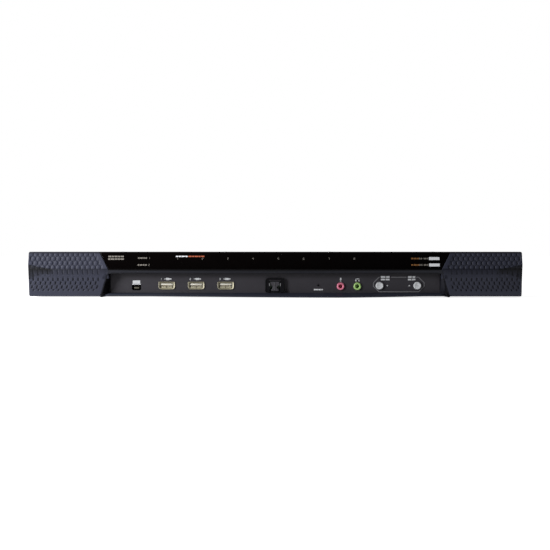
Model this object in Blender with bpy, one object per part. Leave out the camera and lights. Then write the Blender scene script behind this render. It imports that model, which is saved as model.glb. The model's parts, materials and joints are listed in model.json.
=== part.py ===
"""Rack-mount KVM switch, one rack unit high, as separate parts.

World frame: metres, +Z up, the front faces -Y and +X is on the right of someone facing it.
The origin is the bottom centre of the whole object.
Sizes below are in millimetres. "depth" is the distance behind the frontmost point.
"""
import math

import bmesh
import bpy
from mathutils import Vector

MM = 0.001
GAP = 0.3                       # clearance between parts that touch

# Overall size
WIDTH = 480.0
HEIGHT = 44.4
LENGTH = 411.0
FRONT_Y = -LENGTH / 2

# Bezel: a shallow ridge runs across the wings, and their inner edges are chevrons
WING_BOTTOM = 0.9
RIDGE_Z = 27.0
RIDGE_DEPTH = 3.0
EDGE_DEPTH = 8.0
BEZEL_BACK = 30.0
CHEVRON_TIP = 161.7
CHEVRON_TOP = 171.2
CHEVRON_BOTTOM = 170.4
CORNER_RADIUS = 3.0
WALL = 2.6

# Port recess in the middle of the bezel
RECESS_HALF = 161.5
RECESS_TOP = 23.3
PANEL_DEPTH = 14.3
PANEL_THICK = 2.0
PANEL_BACK = PANEL_DEPTH + PANEL_THICK
LIP_TOP = 4.1
LIP_APEX_X = 63.0
LIP_BULGE = 5.5
LIP_BOW = 1.5
CAVITY_DEPTH = 18.5
CAVITY_BOTTOM = 1.5
CAVITY_TOP = 41.4

# Display window
WINDOW_BOTTOM = 27.1
WINDOW_INSET = 0.6
WINDOW_THICK = 2.3
WINDOW_POCKET_BOTTOM = 29.0      # the moulding is open behind the window from here up

# Front panel items: x and z of their centres
USB_X = (-106.0, -77.1, -48.1)
USB_Z = 11.3
USB_MOUTH = (6.2, 2.5)          # half sizes
USB_FLANGE = (8.1, 3.75)
USB_FLANGE_THICK = 0.6
USB_WALL = 0.4
USB_HOLE = (6.9, 3.2)
USB_BACK = 23.6
USB_TONGUE_HALF = 5.6
LAPTOP_PORT = (-135.8, 9.2)
LAPTOP_HOLE = (4.6, 2.7)
LAPTOP_SHELL = (4.3, 2.4)
LAPTOP_MOUTH = (3.85, 2.0)
RESET = (42.6, 11.5)
RESET_HOLE = 1.2               # radius
RESET_RADIUS = 0.85
MIC_JACK = (64.4, 10.6)
SPEAKER_JACK = (80.8, 10.6)
AUDIO_HOLE = 3.3               # radius
PORT_DOWN = (102.5, 11.2)
PORT_UP = (139.4, 11.2)
BUTTON_RADIUS = 3.75
BUTTON_FACE = 12.6
BUTTON_BRIM = 4.8              # radius of the brim that keeps a button in the panel
LATCH_HALF = 9.25
LATCH_TOP = 18.9
LATCH_RADIUS = 3.5
LATCH_FACE = 11.8
LATCH_PIVOT = (15.0, 6.2)       # depth and z of the tab's hinge line
LED_FIRST_X = -95.0
LED_PITCH = 24.6
LED_COUNT = 8
LED_Z = 37.7
LIGHT_HALF = 1.5                # half size of a light guide's bar
FRONT_BOARD_HALF = 158.0
FRONT_BOARD_DEPTH = (24.3, 25.9)
FRONT_BOARD_TOP = 40.0
RIBBON_X = (20.0, 52.0)
RIBBON_THICK = 0.8

# Chassis
SHEET = 1.2
CHASSIS_HALF = 216.0
TRAY_TOP = 41.6
TRAY_FLANGE = 10.0
CHASSIS_FRONT = BEZEL_BACK + GAP
CHASSIS_BACK = 404.0
PLATE_HALF = CHASSIS_HALF - SHEET - GAP
PLATE_Z = (SHEET + GAP, TRAY_TOP - SHEET - GAP)
EAR_HOLE_X = 232.6
EAR_HOLE_Z = (6.3, 38.1)
EAR_SLOT_HALF = (4.75, 3.4)
EAR_THICK = 2.0
EAR_BACK = 76.0
EAR_Z = (1.0, 43.6)
VENT_DEPTHS = [74.0 + 6.0 * index for index in range(16)]
VENT_HALF = 1.5
VENT_Z = (9.0, 33.0)
HATCH = ((-150.0, 150.0), (8.0, 34.0))
POST_X = (-74.0, 196.0)
POST_DEPTHS = (190.0, 285.0, 380.0)
POST_HALF = 3.0
BOARD_Z = (6.0, 7.6)
ON_BOARD = BOARD_Z[1] + GAP
MAIN_BOARD_X = (-82.0, 204.0)
MAIN_BOARD_DEPTH = (176.0, 398.0)
CHIP = (60.0, 260.0)            # x and depth of the main chip and its heat sink
CHIP_HALF = 15.0
CHIP_THICK = 2.4
SINK_LOW = ON_BOARD + CHIP_THICK + GAP
SINK_HALF = 25.0
SINK_HEIGHT = 24.0
SINK_BASE = 3.0
SINK_FINS = 9
PSU_HALF = 24.0
PSU_DEPTH = (250.0, 376.0)
CORE_HALF = 15.0
CORE_DEPTH = (300.0, 332.0)
CORE_HEIGHT = 24.0
CAN_DEPTH = 275.0
CAN_RADIUS = 9.0
CAN_HEIGHT = 26.0

# Fans, set in a row along the right wall
FAN_DEPTHS = (90.0, 150.0)
FAN_HALF = 19.0
FAN_X = (193.9, 213.9)
FAN_Z = 21.0
FAN_BORE = 17.8
FAN_HUB = 10.0
FAN_TIP = 16.9
FAN_BLADES = 7
FAN_STRUT = 1.6                 # half width of the struts that hold the motor
FAN_STRUT_REACH = 18.4
FAN_PITCH = (0.55, 0.85)        # turn of a blade at its root and tip, in radians
BLADE_HALF = (6.0, 0.6)         # half length and half thickness of a blade

# Rear connectors
REAR_FACE = CHASSIS_BACK + 0.8
JACK_PITCH = 15.5
JACK_FLOOR = 392.5
JACK_Z = (ON_BOARD, 21.6)
JACK_WALL = 0.4                 # extra wall at both ends of a block of jacks
SINGLE_JACK_HALF = 8.0
KVM_JACKS = 4                   # jacks in a block
KVM_BLOCK_HALF = KVM_JACKS * JACK_PITCH / 2 + JACK_WALL
KVM_BLOCK_X = (173.5, 173.5 - 2 * KVM_BLOCK_HALF - GAP)
LAN_X = (48.0, 48.0 - 2 * SINGLE_JACK_HALF - GAP)
PLATE_SPLIT = -79.0             # x of the joint between the power plate and the rear panel
REAR_AUDIO_X = (8.0, -5.0)
REAR_AUDIO_Z = 13.0
USB_STACK_X = -22.0
USB_STACK_HALF = 6.8
USB_STACK_HEIGHT = 16.0
MONITOR_X = -52.0
MONITOR_Z = 15.0
MONITOR_HOLE = (9.2, 5.2)
REAR_VENT_ROWS = 3
REAR_VENT_COLUMNS = 16
REAR_VENT_FIRST = (72.0, 25.5)
REAR_VENT_PITCH = (8.4, 4.2)
REAR_VENT_SIZE = (5.5, 2.5)
INLET_X = (-178.0, -116.0)
SWITCH_X = (-150.0, -88.0)
POWER_Z = 21.0
INLET_BODY = (13.4, 9.7)
SWITCH_BODY = (6.2, 9.3)
POWER_FIT = 0.4                # clearance of both in the power plate
ROCKER_DEPTH = 401.0
ROCKER_TILT = math.radians(8)
GROUND = (-74.0, 10.0)
GROUND_HOLE = 2.2              # radius


# ---------------------------------------------------------------- solids as points and faces

def loft(sections, first_cap=None):
    """Closed solid through a list of equal point rings, each point (x, depth, z)."""
    count = len(sections[0])
    points = [point for section in sections for point in section]
    faces = [list(range(count))] if first_cap is None else [list(face) for face in first_cap]
    for ring in range(len(sections) - 1):
        low, high = ring * count, (ring + 1) * count
        for index in range(count):
            after = (index + 1) % count
            faces.append([low + index, low + after, high + after, high + index])
    last = (len(sections) - 1) * count
    faces.append([last + index for index in range(count)])
    return points, faces


def prism(outline, along, start, stop):
    """Outline swept along x, depth or z; its points hold the other two, in that order."""
    place = {
        "x": lambda at, a, b: (at, a, b),
        "depth": lambda at, a, b: (a, at, b),
        "z": lambda at, a, b: (a, b, at),
    }[along]
    return loft([[place(at, a, b) for a, b in outline] for at in (start, stop)])


def box(x, depth, z):
    return prism([(x[0], z[0]), (x[1], z[0]), (x[1], z[1]), (x[0], z[1])], "depth", *depth)


def block(x, z, half_x, half_z, front, back):
    """Box round a centre line that runs front to back."""
    return box((x - half_x, x + half_x), (front, back), (z - half_z, z + half_z))


def turned(x, z, profile, sides=24):
    """Round solid on a line that runs front to back; profile holds (radius, depth) pairs."""
    turn = 2 * math.pi / sides
    return loft([
        [(x + radius * math.cos(turn * i), depth, z + radius * math.sin(turn * i)) for i in range(sides)]
        for radius, depth in profile
    ])


def arc(x, z, radius, start, stop, steps):
    """Points on an arc, with angles in degrees."""
    angles = [math.radians(start + (stop - start) * i / steps) for i in range(steps + 1)]
    return [(x + radius * math.cos(a), z + radius * math.sin(a)) for a in angles]


def merge(solids):
    points, faces = [], []
    for solid_points, solid_faces in solids:
        offset = len(points)
        points.extend(solid_points)
        faces.extend([index + offset for index in face] for face in solid_faces)
    return points, faces


# ---------------------------------------------------------------- scene objects

def clear_scene():
    for item in list(bpy.data.objects):
        bpy.data.objects.remove(item, do_unlink=True)


def surface(name, colour, roughness, metallic=0.0):
    material = bpy.data.materials.new(name)
    material.use_nodes = True
    shader = material.node_tree.nodes["Principled BSDF"]
    shader.inputs["Base Color"].default_value = (*colour, 1.0)
    shader.inputs["Roughness"].default_value = roughness
    shader.inputs["Metallic"].default_value = metallic
    return material


def make_object(name, solid, material=None, origin=(0.0, 0.0, 0.0)):
    """Mesh object whose origin is the point (x, depth, z)."""
    centre = Vector((origin[0], origin[1], origin[2]))
    bm = bmesh.new()
    points, faces = solid
    vertices = [bm.verts.new((Vector(point) - centre) * MM) for point in points]
    for face in faces:
        bm.faces.new([vertices[index] for index in face])
    bmesh.ops.recalc_face_normals(bm, faces=bm.faces)
    mesh = bpy.data.meshes.new(name)
    bm.to_mesh(mesh)
    bm.free()
    mesh.shade_smooth()
    mesh.set_sharp_from_angle(angle=math.radians(32))
    item = bpy.data.objects.new(name, mesh)
    item.location = Vector((centre.x, centre.y + FRONT_Y, centre.z)) * MM
    bpy.context.scene.collection.objects.link(item)
    if material:
        mesh.materials.append(material)
    return item


def add_boolean(part, operation, solid):
    tool = make_object(f"{part.name}_tool_{len(part.modifiers)}", solid)
    tool.hide_render = True
    tool.display_type = "WIRE"
    modifier = part.modifiers.new(tool.name, "BOOLEAN")
    modifier.operation = operation
    modifier.solver = "EXACT"
    modifier.object = tool


def add_part(name, material, solid, cuts=(), joins=(), origin=(0.0, 0.0, 0.0)):
    """One part: a solid, less its cuts, plus the pieces joined to it afterwards."""
    part = make_object(name, solid, material, origin)
    if cuts:
        add_boolean(part, "DIFFERENCE", merge(cuts))
    for joined in joins:
        add_boolean(part, "UNION", joined)
    return part


# ---------------------------------------------------------------- bezel

def face_depth(z):
    """Depth of the ridged front surface at a height."""
    reach = HEIGHT - RIDGE_Z if z >= RIDGE_Z else RIDGE_Z - WING_BOTTOM
    return RIDGE_DEPTH + (EDGE_DEPTH - RIDGE_DEPTH) * abs(z - RIDGE_Z) / reach


def upper_slope(z):
    """Upper front plane, continued below the ridge."""
    return RIDGE_DEPTH + (EDGE_DEPTH - RIDGE_DEPTH) * (z - RIDGE_Z) / (HEIGHT - RIDGE_Z)


def chevron(z):
    """Half width between the wings at a height."""
    if z >= RIDGE_Z:
        return CHEVRON_TIP + (CHEVRON_TOP - CHEVRON_TIP) * (z - RIDGE_Z) / (HEIGHT - RIDGE_Z)
    return CHEVRON_TIP + (CHEVRON_BOTTOM - CHEVRON_TIP) * (RIDGE_Z - z) / (RIDGE_Z - WING_BOTTOM)


def add_wing(name, side, material):
    outer = WIDTH / 2
    rounding = CORNER_RADIUS
    top_corner = arc(outer - rounding, HEIGHT - rounding, rounding, 90, 0, 3)
    low_corner = arc(outer - rounding, WING_BOTTOM + rounding, rounding, 0, -90, 3)
    upper = [(CHEVRON_TIP, RIDGE_Z), (CHEVRON_TOP, HEIGHT), *top_corner, (outer, RIDGE_Z)]
    outline = upper + [*low_corner, (CHEVRON_BOTTOM, WING_BOTTOM)]
    front = [(side * x, face_depth(z), z) for x, z in outline]
    back = [(side * x, BEZEL_BACK, z) for x, z in outline]
    ridge = len(upper) - 1
    halves = [range(ridge + 1), [0, *range(ridge, len(outline))]]
    low, high = WING_BOTTOM + WALL, HEIGHT - WALL
    hollow = prism(
        [(EDGE_DEPTH + WALL, low), (RIDGE_DEPTH + WALL, RIDGE_Z), (EDGE_DEPTH + WALL, high),
         (BEZEL_BACK + 1, high), (BEZEL_BACK + 1, low)],
        "x", side * (CHEVRON_TOP + WALL), side * (outer - WALL))
    add_part(name, material, loft([front, back], halves), [hollow])


def lip_section(x):
    """Section of the lip under the ports: it bows forwards and down towards its apex."""
    reach = RECESS_HALF + math.copysign(LIP_APEX_X, LIP_APEX_X - x)
    bow = min(1.0, abs(x - LIP_APEX_X) / reach) ** 1.4
    front = LIP_BULGE * bow
    low = LIP_BOW * bow
    if abs(x) > RECESS_HALF:
        front, low = EDGE_DEPTH + 2.0, 0.1
    outline = [(front + 0.7, low), (front, low + 0.8), (front + 0.6, low + 1.7),
               (PANEL_DEPTH - GAP, LIP_TOP), (BEZEL_BACK, LIP_TOP), (BEZEL_BACK, low)]
    return [(x, depth, z) for depth, z in outline]


def add_bezel_center(material):
    """Middle moulding: a frame for the window, the strip, the recess and the lip."""
    floor = 2.2
    outline = [(-1, RIDGE_Z), (-1, HEIGHT), (1, HEIGHT), (1, RIDGE_Z), (1, floor), (-1, floor)]
    points = [(side * (chevron(z) - GAP), z) for side, z in outline]
    front = [(x, face_depth(z), z) for x, z in points]
    back = [(x, BEZEL_BACK, z) for x, z in points]
    body = loft([front, back], [(0, 1, 2, 3), (0, 3, 4, 5)])

    notch_z = (WINDOW_BOTTOM - GAP, HEIGHT + 1)
    corners = [(-1, notch_z[0]), (1, notch_z[0]), (1, notch_z[1]), (-1, notch_z[1])]
    seat = WINDOW_INSET + WINDOW_THICK + GAP
    notch = loft([
        [(side * (CHEVRON_TOP + 2), -1, z) for side, z in corners],
        [(side * (CHEVRON_TOP + 2), upper_slope(z) + seat, z) for side, z in corners],
    ])
    pocket = box((-FRONT_BOARD_HALF, FRONT_BOARD_HALF), (RIDGE_DEPTH, CAVITY_DEPTH + 1),
                 (WINDOW_POCKET_BOTTOM, CAVITY_TOP))
    rim = 0.5
    low, high = 1.0, RECESS_TOP
    mouth = [(-1, low), (1, low), (1, high), (-1, high)]
    recess = loft([
        [(side * (chevron(z) - GAP - rim), -1, z) for side, z in mouth],
        [(side * (chevron(z) - GAP - rim), face_depth(z) + rim, z) for side, z in mouth],
        [(side * RECESS_HALF, PANEL_DEPTH - GAP, z) for side, z in mouth],
        [(side * RECESS_HALF, CAVITY_DEPTH + 0.5, z) for side, z in mouth],
    ])
    cavity = box((-RECESS_HALF, RECESS_HALF), (CAVITY_DEPTH, BEZEL_BACK + 1), (CAVITY_BOTTOM, CAVITY_TOP))
    end = chevron(LIP_TOP) - GAP
    left = [LIP_APEX_X - (LIP_APEX_X + RECESS_HALF) * i / 8 for i in range(8, 0, -1)]
    right = [LIP_APEX_X + (RECESS_HALF - LIP_APEX_X) * i / 5 for i in range(6)]
    lip = loft([lip_section(x) for x in (-end, *left, *right, end)])
    part = make_object("bezel_center", body, material)
    for cut in (notch, pocket, recess, cavity):
        add_boolean(part, "DIFFERENCE", cut)
    add_boolean(part, "UNION", lip)


def add_display_window(material):
    corners = [(-1, WINDOW_BOTTOM), (1, WINDOW_BOTTOM), (1, HEIGHT - 0.2), (-1, HEIGHT - 0.2)]
    sheets = [
        [(side * (chevron(z) - GAP), upper_slope(z) + inset, z) for side, z in corners]
        for inset in (WINDOW_INSET, WINDOW_INSET + WINDOW_THICK)
    ]
    add_part("display_window", material, loft(sheets))


# ---------------------------------------------------------------- front panel

def mini_outline(x, z, half_x, half_z):
    shape = [(-1, 1), (-1, -0.1), (-0.75, -1), (0.75, -1), (1, -0.1), (1, 1)]
    return [(x + half_x * a, z + half_z * b) for a, b in shape]


def latch_outline(margin):
    half, radius = LATCH_HALF + margin, LATCH_RADIUS
    top = LATCH_TOP + margin
    low = LIP_TOP + 2 * GAP - 2 * margin
    return [(-half, low), (half, low), *arc(half - radius, top - radius, radius, 0, 90, 4),
            *arc(radius - half, top - radius, radius, 90, 180, 4)]


def add_port_panel(material):
    start, stop = PANEL_DEPTH - 1, PANEL_BACK + 1
    cuts = [block(x, USB_Z, *USB_HOLE, start, stop) for x in USB_X]
    cuts.append(prism(mini_outline(*LAPTOP_PORT, *LAPTOP_HOLE), "depth", start, stop))
    cuts.append(prism(latch_outline(GAP), "depth", start, stop))
    rounds = [(RESET, RESET_HOLE), (MIC_JACK, AUDIO_HOLE), (SPEAKER_JACK, AUDIO_HOLE)]
    rounds += [(place, BUTTON_RADIUS + GAP) for place in (PORT_DOWN, PORT_UP)]
    for (x, z), radius in rounds:
        cuts.append(turned(x, z, [(radius, start), (radius, stop)]))
    half = RECESS_HALF - GAP
    plate = box((-half, half), (PANEL_DEPTH, PANEL_BACK), (LIP_TOP + GAP, RECESS_TOP - GAP))
    add_part("port_panel", material, plate, cuts)


def add_usb_port(number, x, metal, plastic):
    """USB type A socket with a flared flange that lies on the front of the panel."""
    mouth = PANEL_DEPTH - GAP - USB_FLANGE_THICK
    half_x, half_z = USB_MOUTH[0] + USB_WALL, USB_MOUTH[1] + USB_WALL
    floor = USB_BACK - 2 * USB_WALL
    edge_x, edge_z = USB_FLANGE
    flat = edge_x - 2.2
    half_rim = [(edge_x, edge_z), (edge_x, 0.2), (flat, -edge_z)]
    rim = [(-a, b) for a, b in half_rim] + half_rim[::-1]
    flange = prism([(x + a, USB_Z + b) for a, b in rim], "depth", mouth, mouth + USB_FLANGE_THICK)
    part = make_object(f"front_usb_shell_{number}", flange, metal)
    add_boolean(part, "UNION", block(x, USB_Z, half_x, half_z, mouth + 0.5, USB_BACK))
    add_boolean(part, "DIFFERENCE", block(x, USB_Z, *USB_MOUTH, mouth - 1, floor))
    root = floor - GAP
    add_part(f"front_usb_tongue_{number}", plastic, usb_tongue(x, USB_Z, root, root - 2.6, mouth + 1.0))


def usb_tongue(x, z, root, step, tip):
    """Plastic tongue along the top of a socket, on a foot at its root."""
    side = [(root, z - 2.2), (step, z - 2.2), (step, z + 0.2), (tip, z + 0.2), (tip, z + 2.0),
            (step, z + 2.0), (step, z + 2.2), (root, z + 2.2)]
    return prism(side, "x", x - USB_TONGUE_HALF, x + USB_TONGUE_HALF)


def add_laptop_port(metal, plastic):
    """Small five-contact socket, set a little behind the front of the panel."""
    x, z = LAPTOP_PORT
    mouth, back, floor = PANEL_DEPTH + 0.6, 23.4, 22.6
    shell = prism(mini_outline(x, z, *LAPTOP_SHELL), "depth", mouth, back)
    hollow = prism(mini_outline(x, z, *LAPTOP_MOUTH), "depth", mouth - 1, floor)
    add_part("laptop_port_shell", metal, shell, [hollow])
    tip, step, root = mouth + 0.8, 20.4, floor - GAP
    side = [(root, z - 1.5), (step, z - 1.5), (step, z - 1.0), (tip, z - 1.0), (tip, z + 0.4),
            (step, z + 0.4), (step, z + 1.5), (root, z + 1.5)]
    add_part("laptop_port_tongue", plastic, prism(side, "x", x - 2.4, x + 2.4))


def add_audio_jack(name, x, z, material, panel_face, outward):
    """3.5 mm jack with a round collar in front of its panel."""
    collar = panel_face + outward * GAP
    rise = outward * 1.0
    profile = [(1.8, collar - outward * 8.0), (1.8, collar + rise), (3.4, collar + rise),
               (3.75, collar + 0.7 * rise), (3.75, collar), (3.0, collar), (3.0, collar - outward * 9.0)]
    add_part(name, material, turned(x, z, profile))


def add_latch(frame_material, tab_material):
    opening = box((-5.0, 5.0), (10, 20), (5.4, 16.0))
    frame = prism(latch_outline(0.0), "depth", LATCH_FACE, CAVITY_DEPTH)
    add_part("latch_frame", frame_material, frame, [opening])
    half = [(3.9, 5.8), (3.9, 7.4), (2.2, 9.0), (2.2, 10.6), (4.6, 12.4), (4.6, 15.5)]
    outline = half + [(-x, z) for x, z in reversed(half)]
    add_part("latch_tab", tab_material, prism(outline, "depth", 12.6, 15.2), origin=(0.0, *LATCH_PIVOT))


def add_push_buttons(cap_material, reset_material):
    for name, (x, z) in (("port_down_button", PORT_DOWN), ("port_up_button", PORT_UP)):
        brim, stem = (PANEL_BACK + 1.0, PANEL_BACK + 2.0), 1.6
        profile = [(BUTTON_RADIUS - 0.6, BUTTON_FACE), (BUTTON_RADIUS, BUTTON_FACE + 0.6),
                   (BUTTON_RADIUS, brim[0]), (BUTTON_BRIM, brim[0]), (BUTTON_BRIM, brim[1]),
                   (stem, brim[1]), (stem, PANEL_BACK + 5.0)]
        add_part(name, cap_material, turned(x, z, profile), origin=(x, BUTTON_FACE, z))
    x, z = RESET
    front = PANEL_DEPTH + 0.6
    pin = turned(x, z, [(RESET_RADIUS, front), (RESET_RADIUS, PANEL_BACK + 5.0)], 12)
    add_part("reset_button", reset_material, pin, origin=(x, front, z))


def add_front_electronics(board_material, clear_material, cable_material):
    board = box((-FRONT_BOARD_HALF, FRONT_BOARD_HALF), FRONT_BOARD_DEPTH, (LIP_TOP + 1, FRONT_BOARD_TOP))
    add_part("front_board", board_material, board)
    half = LIGHT_HALF
    tip, root, back = upper_slope(LED_Z) + WINDOW_INSET + WINDOW_THICK + 0.9, 19.0, 22.0
    comb = [(LED_FIRST_X - 6, back), (LED_FIRST_X - 6, root)]
    for index in range(LED_COUNT):
        x = LED_FIRST_X + index * LED_PITCH
        comb += [(x - half, root), (x - half, tip), (x + half, tip), (x + half, root)]
    comb += [(x + 6, root), (x + 6, back)]
    add_part("light_guide", clear_material, prism(comb, "z", LED_Z - half, LED_Z + half))
    low, high = 9.5, 20.0
    path = [(26.2, high), (44, high), (60, low), (190, low)]
    under = [(depth, z - RIBBON_THICK) for depth, z in reversed(path)]
    add_part("front_ribbon", cable_material, prism(path + under, "x", *RIBBON_X))


# ---------------------------------------------------------------- chassis

def add_chassis(metal, zinc):
    half, inner, edge = CHASSIS_HALF, CHASSIS_HALF - SHEET, CHASSIS_HALF - TRAY_FLANGE
    right = [(half, 0), (half, TRAY_TOP), (edge, TRAY_TOP), (edge, TRAY_TOP - SHEET),
             (inner, TRAY_TOP - SHEET), (inner, SHEET)]
    outline = right + [(-x, z) for x, z in reversed(right)]
    tray = prism(outline, "depth", CHASSIS_FRONT, CHASSIS_BACK)
    slots = []
    for side in (-1, 1):
        wall = sorted((side * (inner - 1), side * (half + 1)))
        slots += [box(wall, (depth - VENT_HALF, depth + VENT_HALF), VENT_Z) for depth in VENT_DEPTHS]
    posts = []
    for x in POST_X:
        for depth in POST_DEPTHS:
            posts.append(box((x - POST_HALF, x + POST_HALF), (depth - POST_HALF, depth + POST_HALF),
                             (SHEET / 2, BOARD_Z[0] - GAP)))
    add_part("chassis_tray", metal, tray, slots, [merge(posts)])

    hatch = box(HATCH[0], (CHASSIS_FRONT - 1, CHASSIS_FRONT + 3), HATCH[1])
    plate = box((-PLATE_HALF, PLATE_HALF), (CHASSIS_FRONT, CHASSIS_FRONT + SHEET), PLATE_Z)
    add_part("front_plate", zinc, plate, [hatch])
    cover_low = TRAY_TOP + GAP
    cover = box((-half, half), (CHASSIS_FRONT, CHASSIS_BACK), (cover_low, cover_low + SHEET))
    add_part("top_cover", metal, cover)


def add_rack_ear(name, side, metal):
    inner, outer = CHASSIS_HALF + GAP, WIDTH / 2 - 0.5
    elbow = (inner + EAR_THICK, CHASSIS_FRONT + EAR_THICK)
    outline = [(inner, CHASSIS_FRONT), (outer, CHASSIS_FRONT), (outer, elbow[1]), elbow,
               (elbow[0], EAR_BACK), (inner, EAR_BACK)]
    bracket = prism([(side * x, depth) for x, depth in outline], "z", *EAR_Z)
    slots = [block(side * EAR_HOLE_X, z, *EAR_SLOT_HALF, CHASSIS_FRONT - 1, elbow[1] + 1) for z in EAR_HOLE_Z]
    add_part(name, metal, bracket, slots)


def rear_cutouts():
    """Openings of the rear panel, each a little larger than what passes through it."""
    start, stop = CHASSIS_BACK - SHEET - 1, CHASSIS_BACK + 1
    middle, half_z = sum(JACK_Z) / 2, (JACK_Z[1] - JACK_Z[0]) / 2 + GAP
    cuts = []
    for (right, left), half in ((KVM_BLOCK_X, KVM_BLOCK_HALF), (LAN_X, SINGLE_JACK_HALF)):
        reach = (right - left) / 2 + half + GAP
        cuts.append(block((left + right) / 2, middle, reach, half_z, start, stop))
    half_stack = USB_STACK_HEIGHT / 2
    cuts.append(block(USB_STACK_X, ON_BOARD + half_stack, USB_STACK_HALF + GAP, half_stack + GAP,
                      start, stop))
    cuts.append(block(MONITOR_X, MONITOR_Z, *MONITOR_HOLE, start, stop))
    for x, z, radius in [(x, REAR_AUDIO_Z, AUDIO_HOLE) for x in REAR_AUDIO_X] + [(*GROUND, GROUND_HOLE)]:
        cuts.append(turned(x, z, [(radius, start), (radius, stop)], 16))
    for row in range(REAR_VENT_ROWS):
        low = REAR_VENT_FIRST[1] + REAR_VENT_PITCH[1] * row
        for column in range(REAR_VENT_COLUMNS):
            left = REAR_VENT_FIRST[0] + REAR_VENT_PITCH[0] * column
            cuts.append(box((left, left + REAR_VENT_SIZE[0]), (start, stop), (low, low + REAR_VENT_SIZE[1])))
    return cuts


def power_cutouts():
    start, stop = CHASSIS_BACK - SHEET - 1, CHASSIS_BACK + 1
    fittings = [(x, INLET_BODY) for x in INLET_X] + [(x, SWITCH_BODY) for x in SWITCH_X]
    return [block(x, POWER_Z, half_x + POWER_FIT, half_z + POWER_FIT, start, stop)
            for x, (half_x, half_z) in fittings]


def add_rear_plates(metal):
    depths = (CHASSIS_BACK - SHEET, CHASSIS_BACK)
    panel = box((PLATE_SPLIT + GAP / 2, PLATE_HALF), depths, PLATE_Z)
    add_part("rear_panel", metal, panel, rear_cutouts())
    plate = box((-PLATE_HALF, PLATE_SPLIT - GAP / 2), depths, PLATE_Z)
    add_part("power_plate", metal, plate, power_cutouts())


# ---------------------------------------------------------------- inside

def add_main_board(board_material, chip_material, metal):
    add_part("main_board", board_material, box(MAIN_BOARD_X, MAIN_BOARD_DEPTH, BOARD_Z))
    chip_x, chip_depth = CHIP
    chip = box((chip_x - CHIP_HALF, chip_x + CHIP_HALF), (chip_depth - CHIP_HALF, chip_depth + CHIP_HALF),
               (ON_BOARD, ON_BOARD + CHIP_THICK))
    add_part("main_chip", chip_material, chip)
    half, root, top = SINK_HALF, SINK_LOW + SINK_BASE, SINK_LOW + SINK_HEIGHT
    fin = 2 * half / (2 * SINK_FINS - 1)
    comb = [(-half, SINK_LOW), (half, SINK_LOW), (half, top)]
    for index in range(1, 2 * SINK_FINS - 1):
        x = half - index * fin
        comb += [(x, z) for z in ((top, root) if index % 2 else (root, top))]
    comb.append((-half, top))
    add_part("heat_sink", metal, prism([(chip_x + x, z) for x, z in comb], "depth",
                                       chip_depth - half, chip_depth + half))


def add_power_supply(number, x, board_material, wound_material, can_material):
    board = box((x - PSU_HALF, x + PSU_HALF), PSU_DEPTH, BOARD_Z)
    add_part(f"psu_board_{number}", board_material, board)
    core = box((x - CORE_HALF, x + CORE_HALF), CORE_DEPTH, (ON_BOARD, ON_BOARD + CORE_HEIGHT))
    add_part(f"psu_transformer_{number}", wound_material, core)
    can = prism(arc(x, CAN_DEPTH, CAN_RADIUS, 0, 345, 23), "z", ON_BOARD, ON_BOARD + CAN_HEIGHT)
    add_part(f"psu_capacitor_{number}", can_material, can)


def add_fan(number, depth, frame_material, rotor_material):
    """Axial fan that blows out through the right wall, with its axis along x."""
    def ring(radius, sides, x):
        return [(x, depth + a, FAN_Z + b) for a, b in arc(0, 0, radius, 0, 360 - 360 / sides, sides - 1)]

    low, high = FAN_X
    body = box((low, high), (depth - FAN_HALF, depth + FAN_HALF), (FAN_Z - FAN_HALF, FAN_Z + FAN_HALF))
    bore = loft([ring(FAN_BORE, 28, x) for x in (low - 1, high + 1)])
    strut_x, strut, reach = (high - 2, high - 0.1), FAN_STRUT, FAN_STRUT_REACH
    upright = box(strut_x, (depth - strut, depth + strut), (FAN_Z - reach, FAN_Z + reach))
    level = box(strut_x, (depth - reach, depth + reach), (FAN_Z - strut, FAN_Z + strut))
    disc = loft([ring(FAN_HUB, 20, x) for x in (high - 2.2, high - 0.3)])
    add_part(f"fan_frame_{number}", frame_material, body, [bore], [upright, level, disc])

    hub = loft([ring(FAN_HUB, 20, x) for x in (low + 1, high - 3)])
    middle = (low + high) / 2 - 1
    half, thick = BLADE_HALF
    blades = []
    for index in range(FAN_BLADES):
        spin = 2 * math.pi * index / FAN_BLADES
        sections = []
        for radius, pitch in zip((FAN_HUB - 1.0, FAN_TIP), FAN_PITCH):
            corners = []
            for along, across in ((-half, -thick), (half, -thick), (half, thick), (-half, thick)):
                x = middle + along * math.cos(pitch) - across * math.sin(pitch)
                angle = spin + (along * math.sin(pitch) + across * math.cos(pitch)) / radius
                corners.append((x, depth + radius * math.cos(angle), FAN_Z + radius * math.sin(angle)))
            sections.append(corners)
        blades.append(loft(sections))
    add_part(f"fan_rotor_{number}", rotor_material, hub, (), [merge(blades)], origin=(middle, depth, FAN_Z))


# ---------------------------------------------------------------- rear connectors

def jack_cavity(x):
    """Socket for an 8-way modular plug, with the notch for its catch at the top."""
    half, catch = 5.9, 3.0
    low, high, notch = (JACK_Z[0] + rise for rise in (1.8, 9.6, 11.8))
    outline = [(x - half, low), (x + half, low), (x + half, high), (x + catch, high), (x + catch, notch),
               (x - catch, notch), (x - catch, high), (x - half, high)]
    return prism(outline, "depth", JACK_FLOOR, REAR_FACE + 1)


def add_modular_jacks(name, x, count, material):
    half = KVM_BLOCK_HALF if count > 1 else SINGLE_JACK_HALF
    shell = box((x - half, x + half), (JACK_FLOOR - 3, REAR_FACE), JACK_Z)
    middles = [x + (index - (count - 1) / 2) * JACK_PITCH for index in range(count)]
    add_part(name, material, shell, [jack_cavity(middle) for middle in middles])


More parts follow.
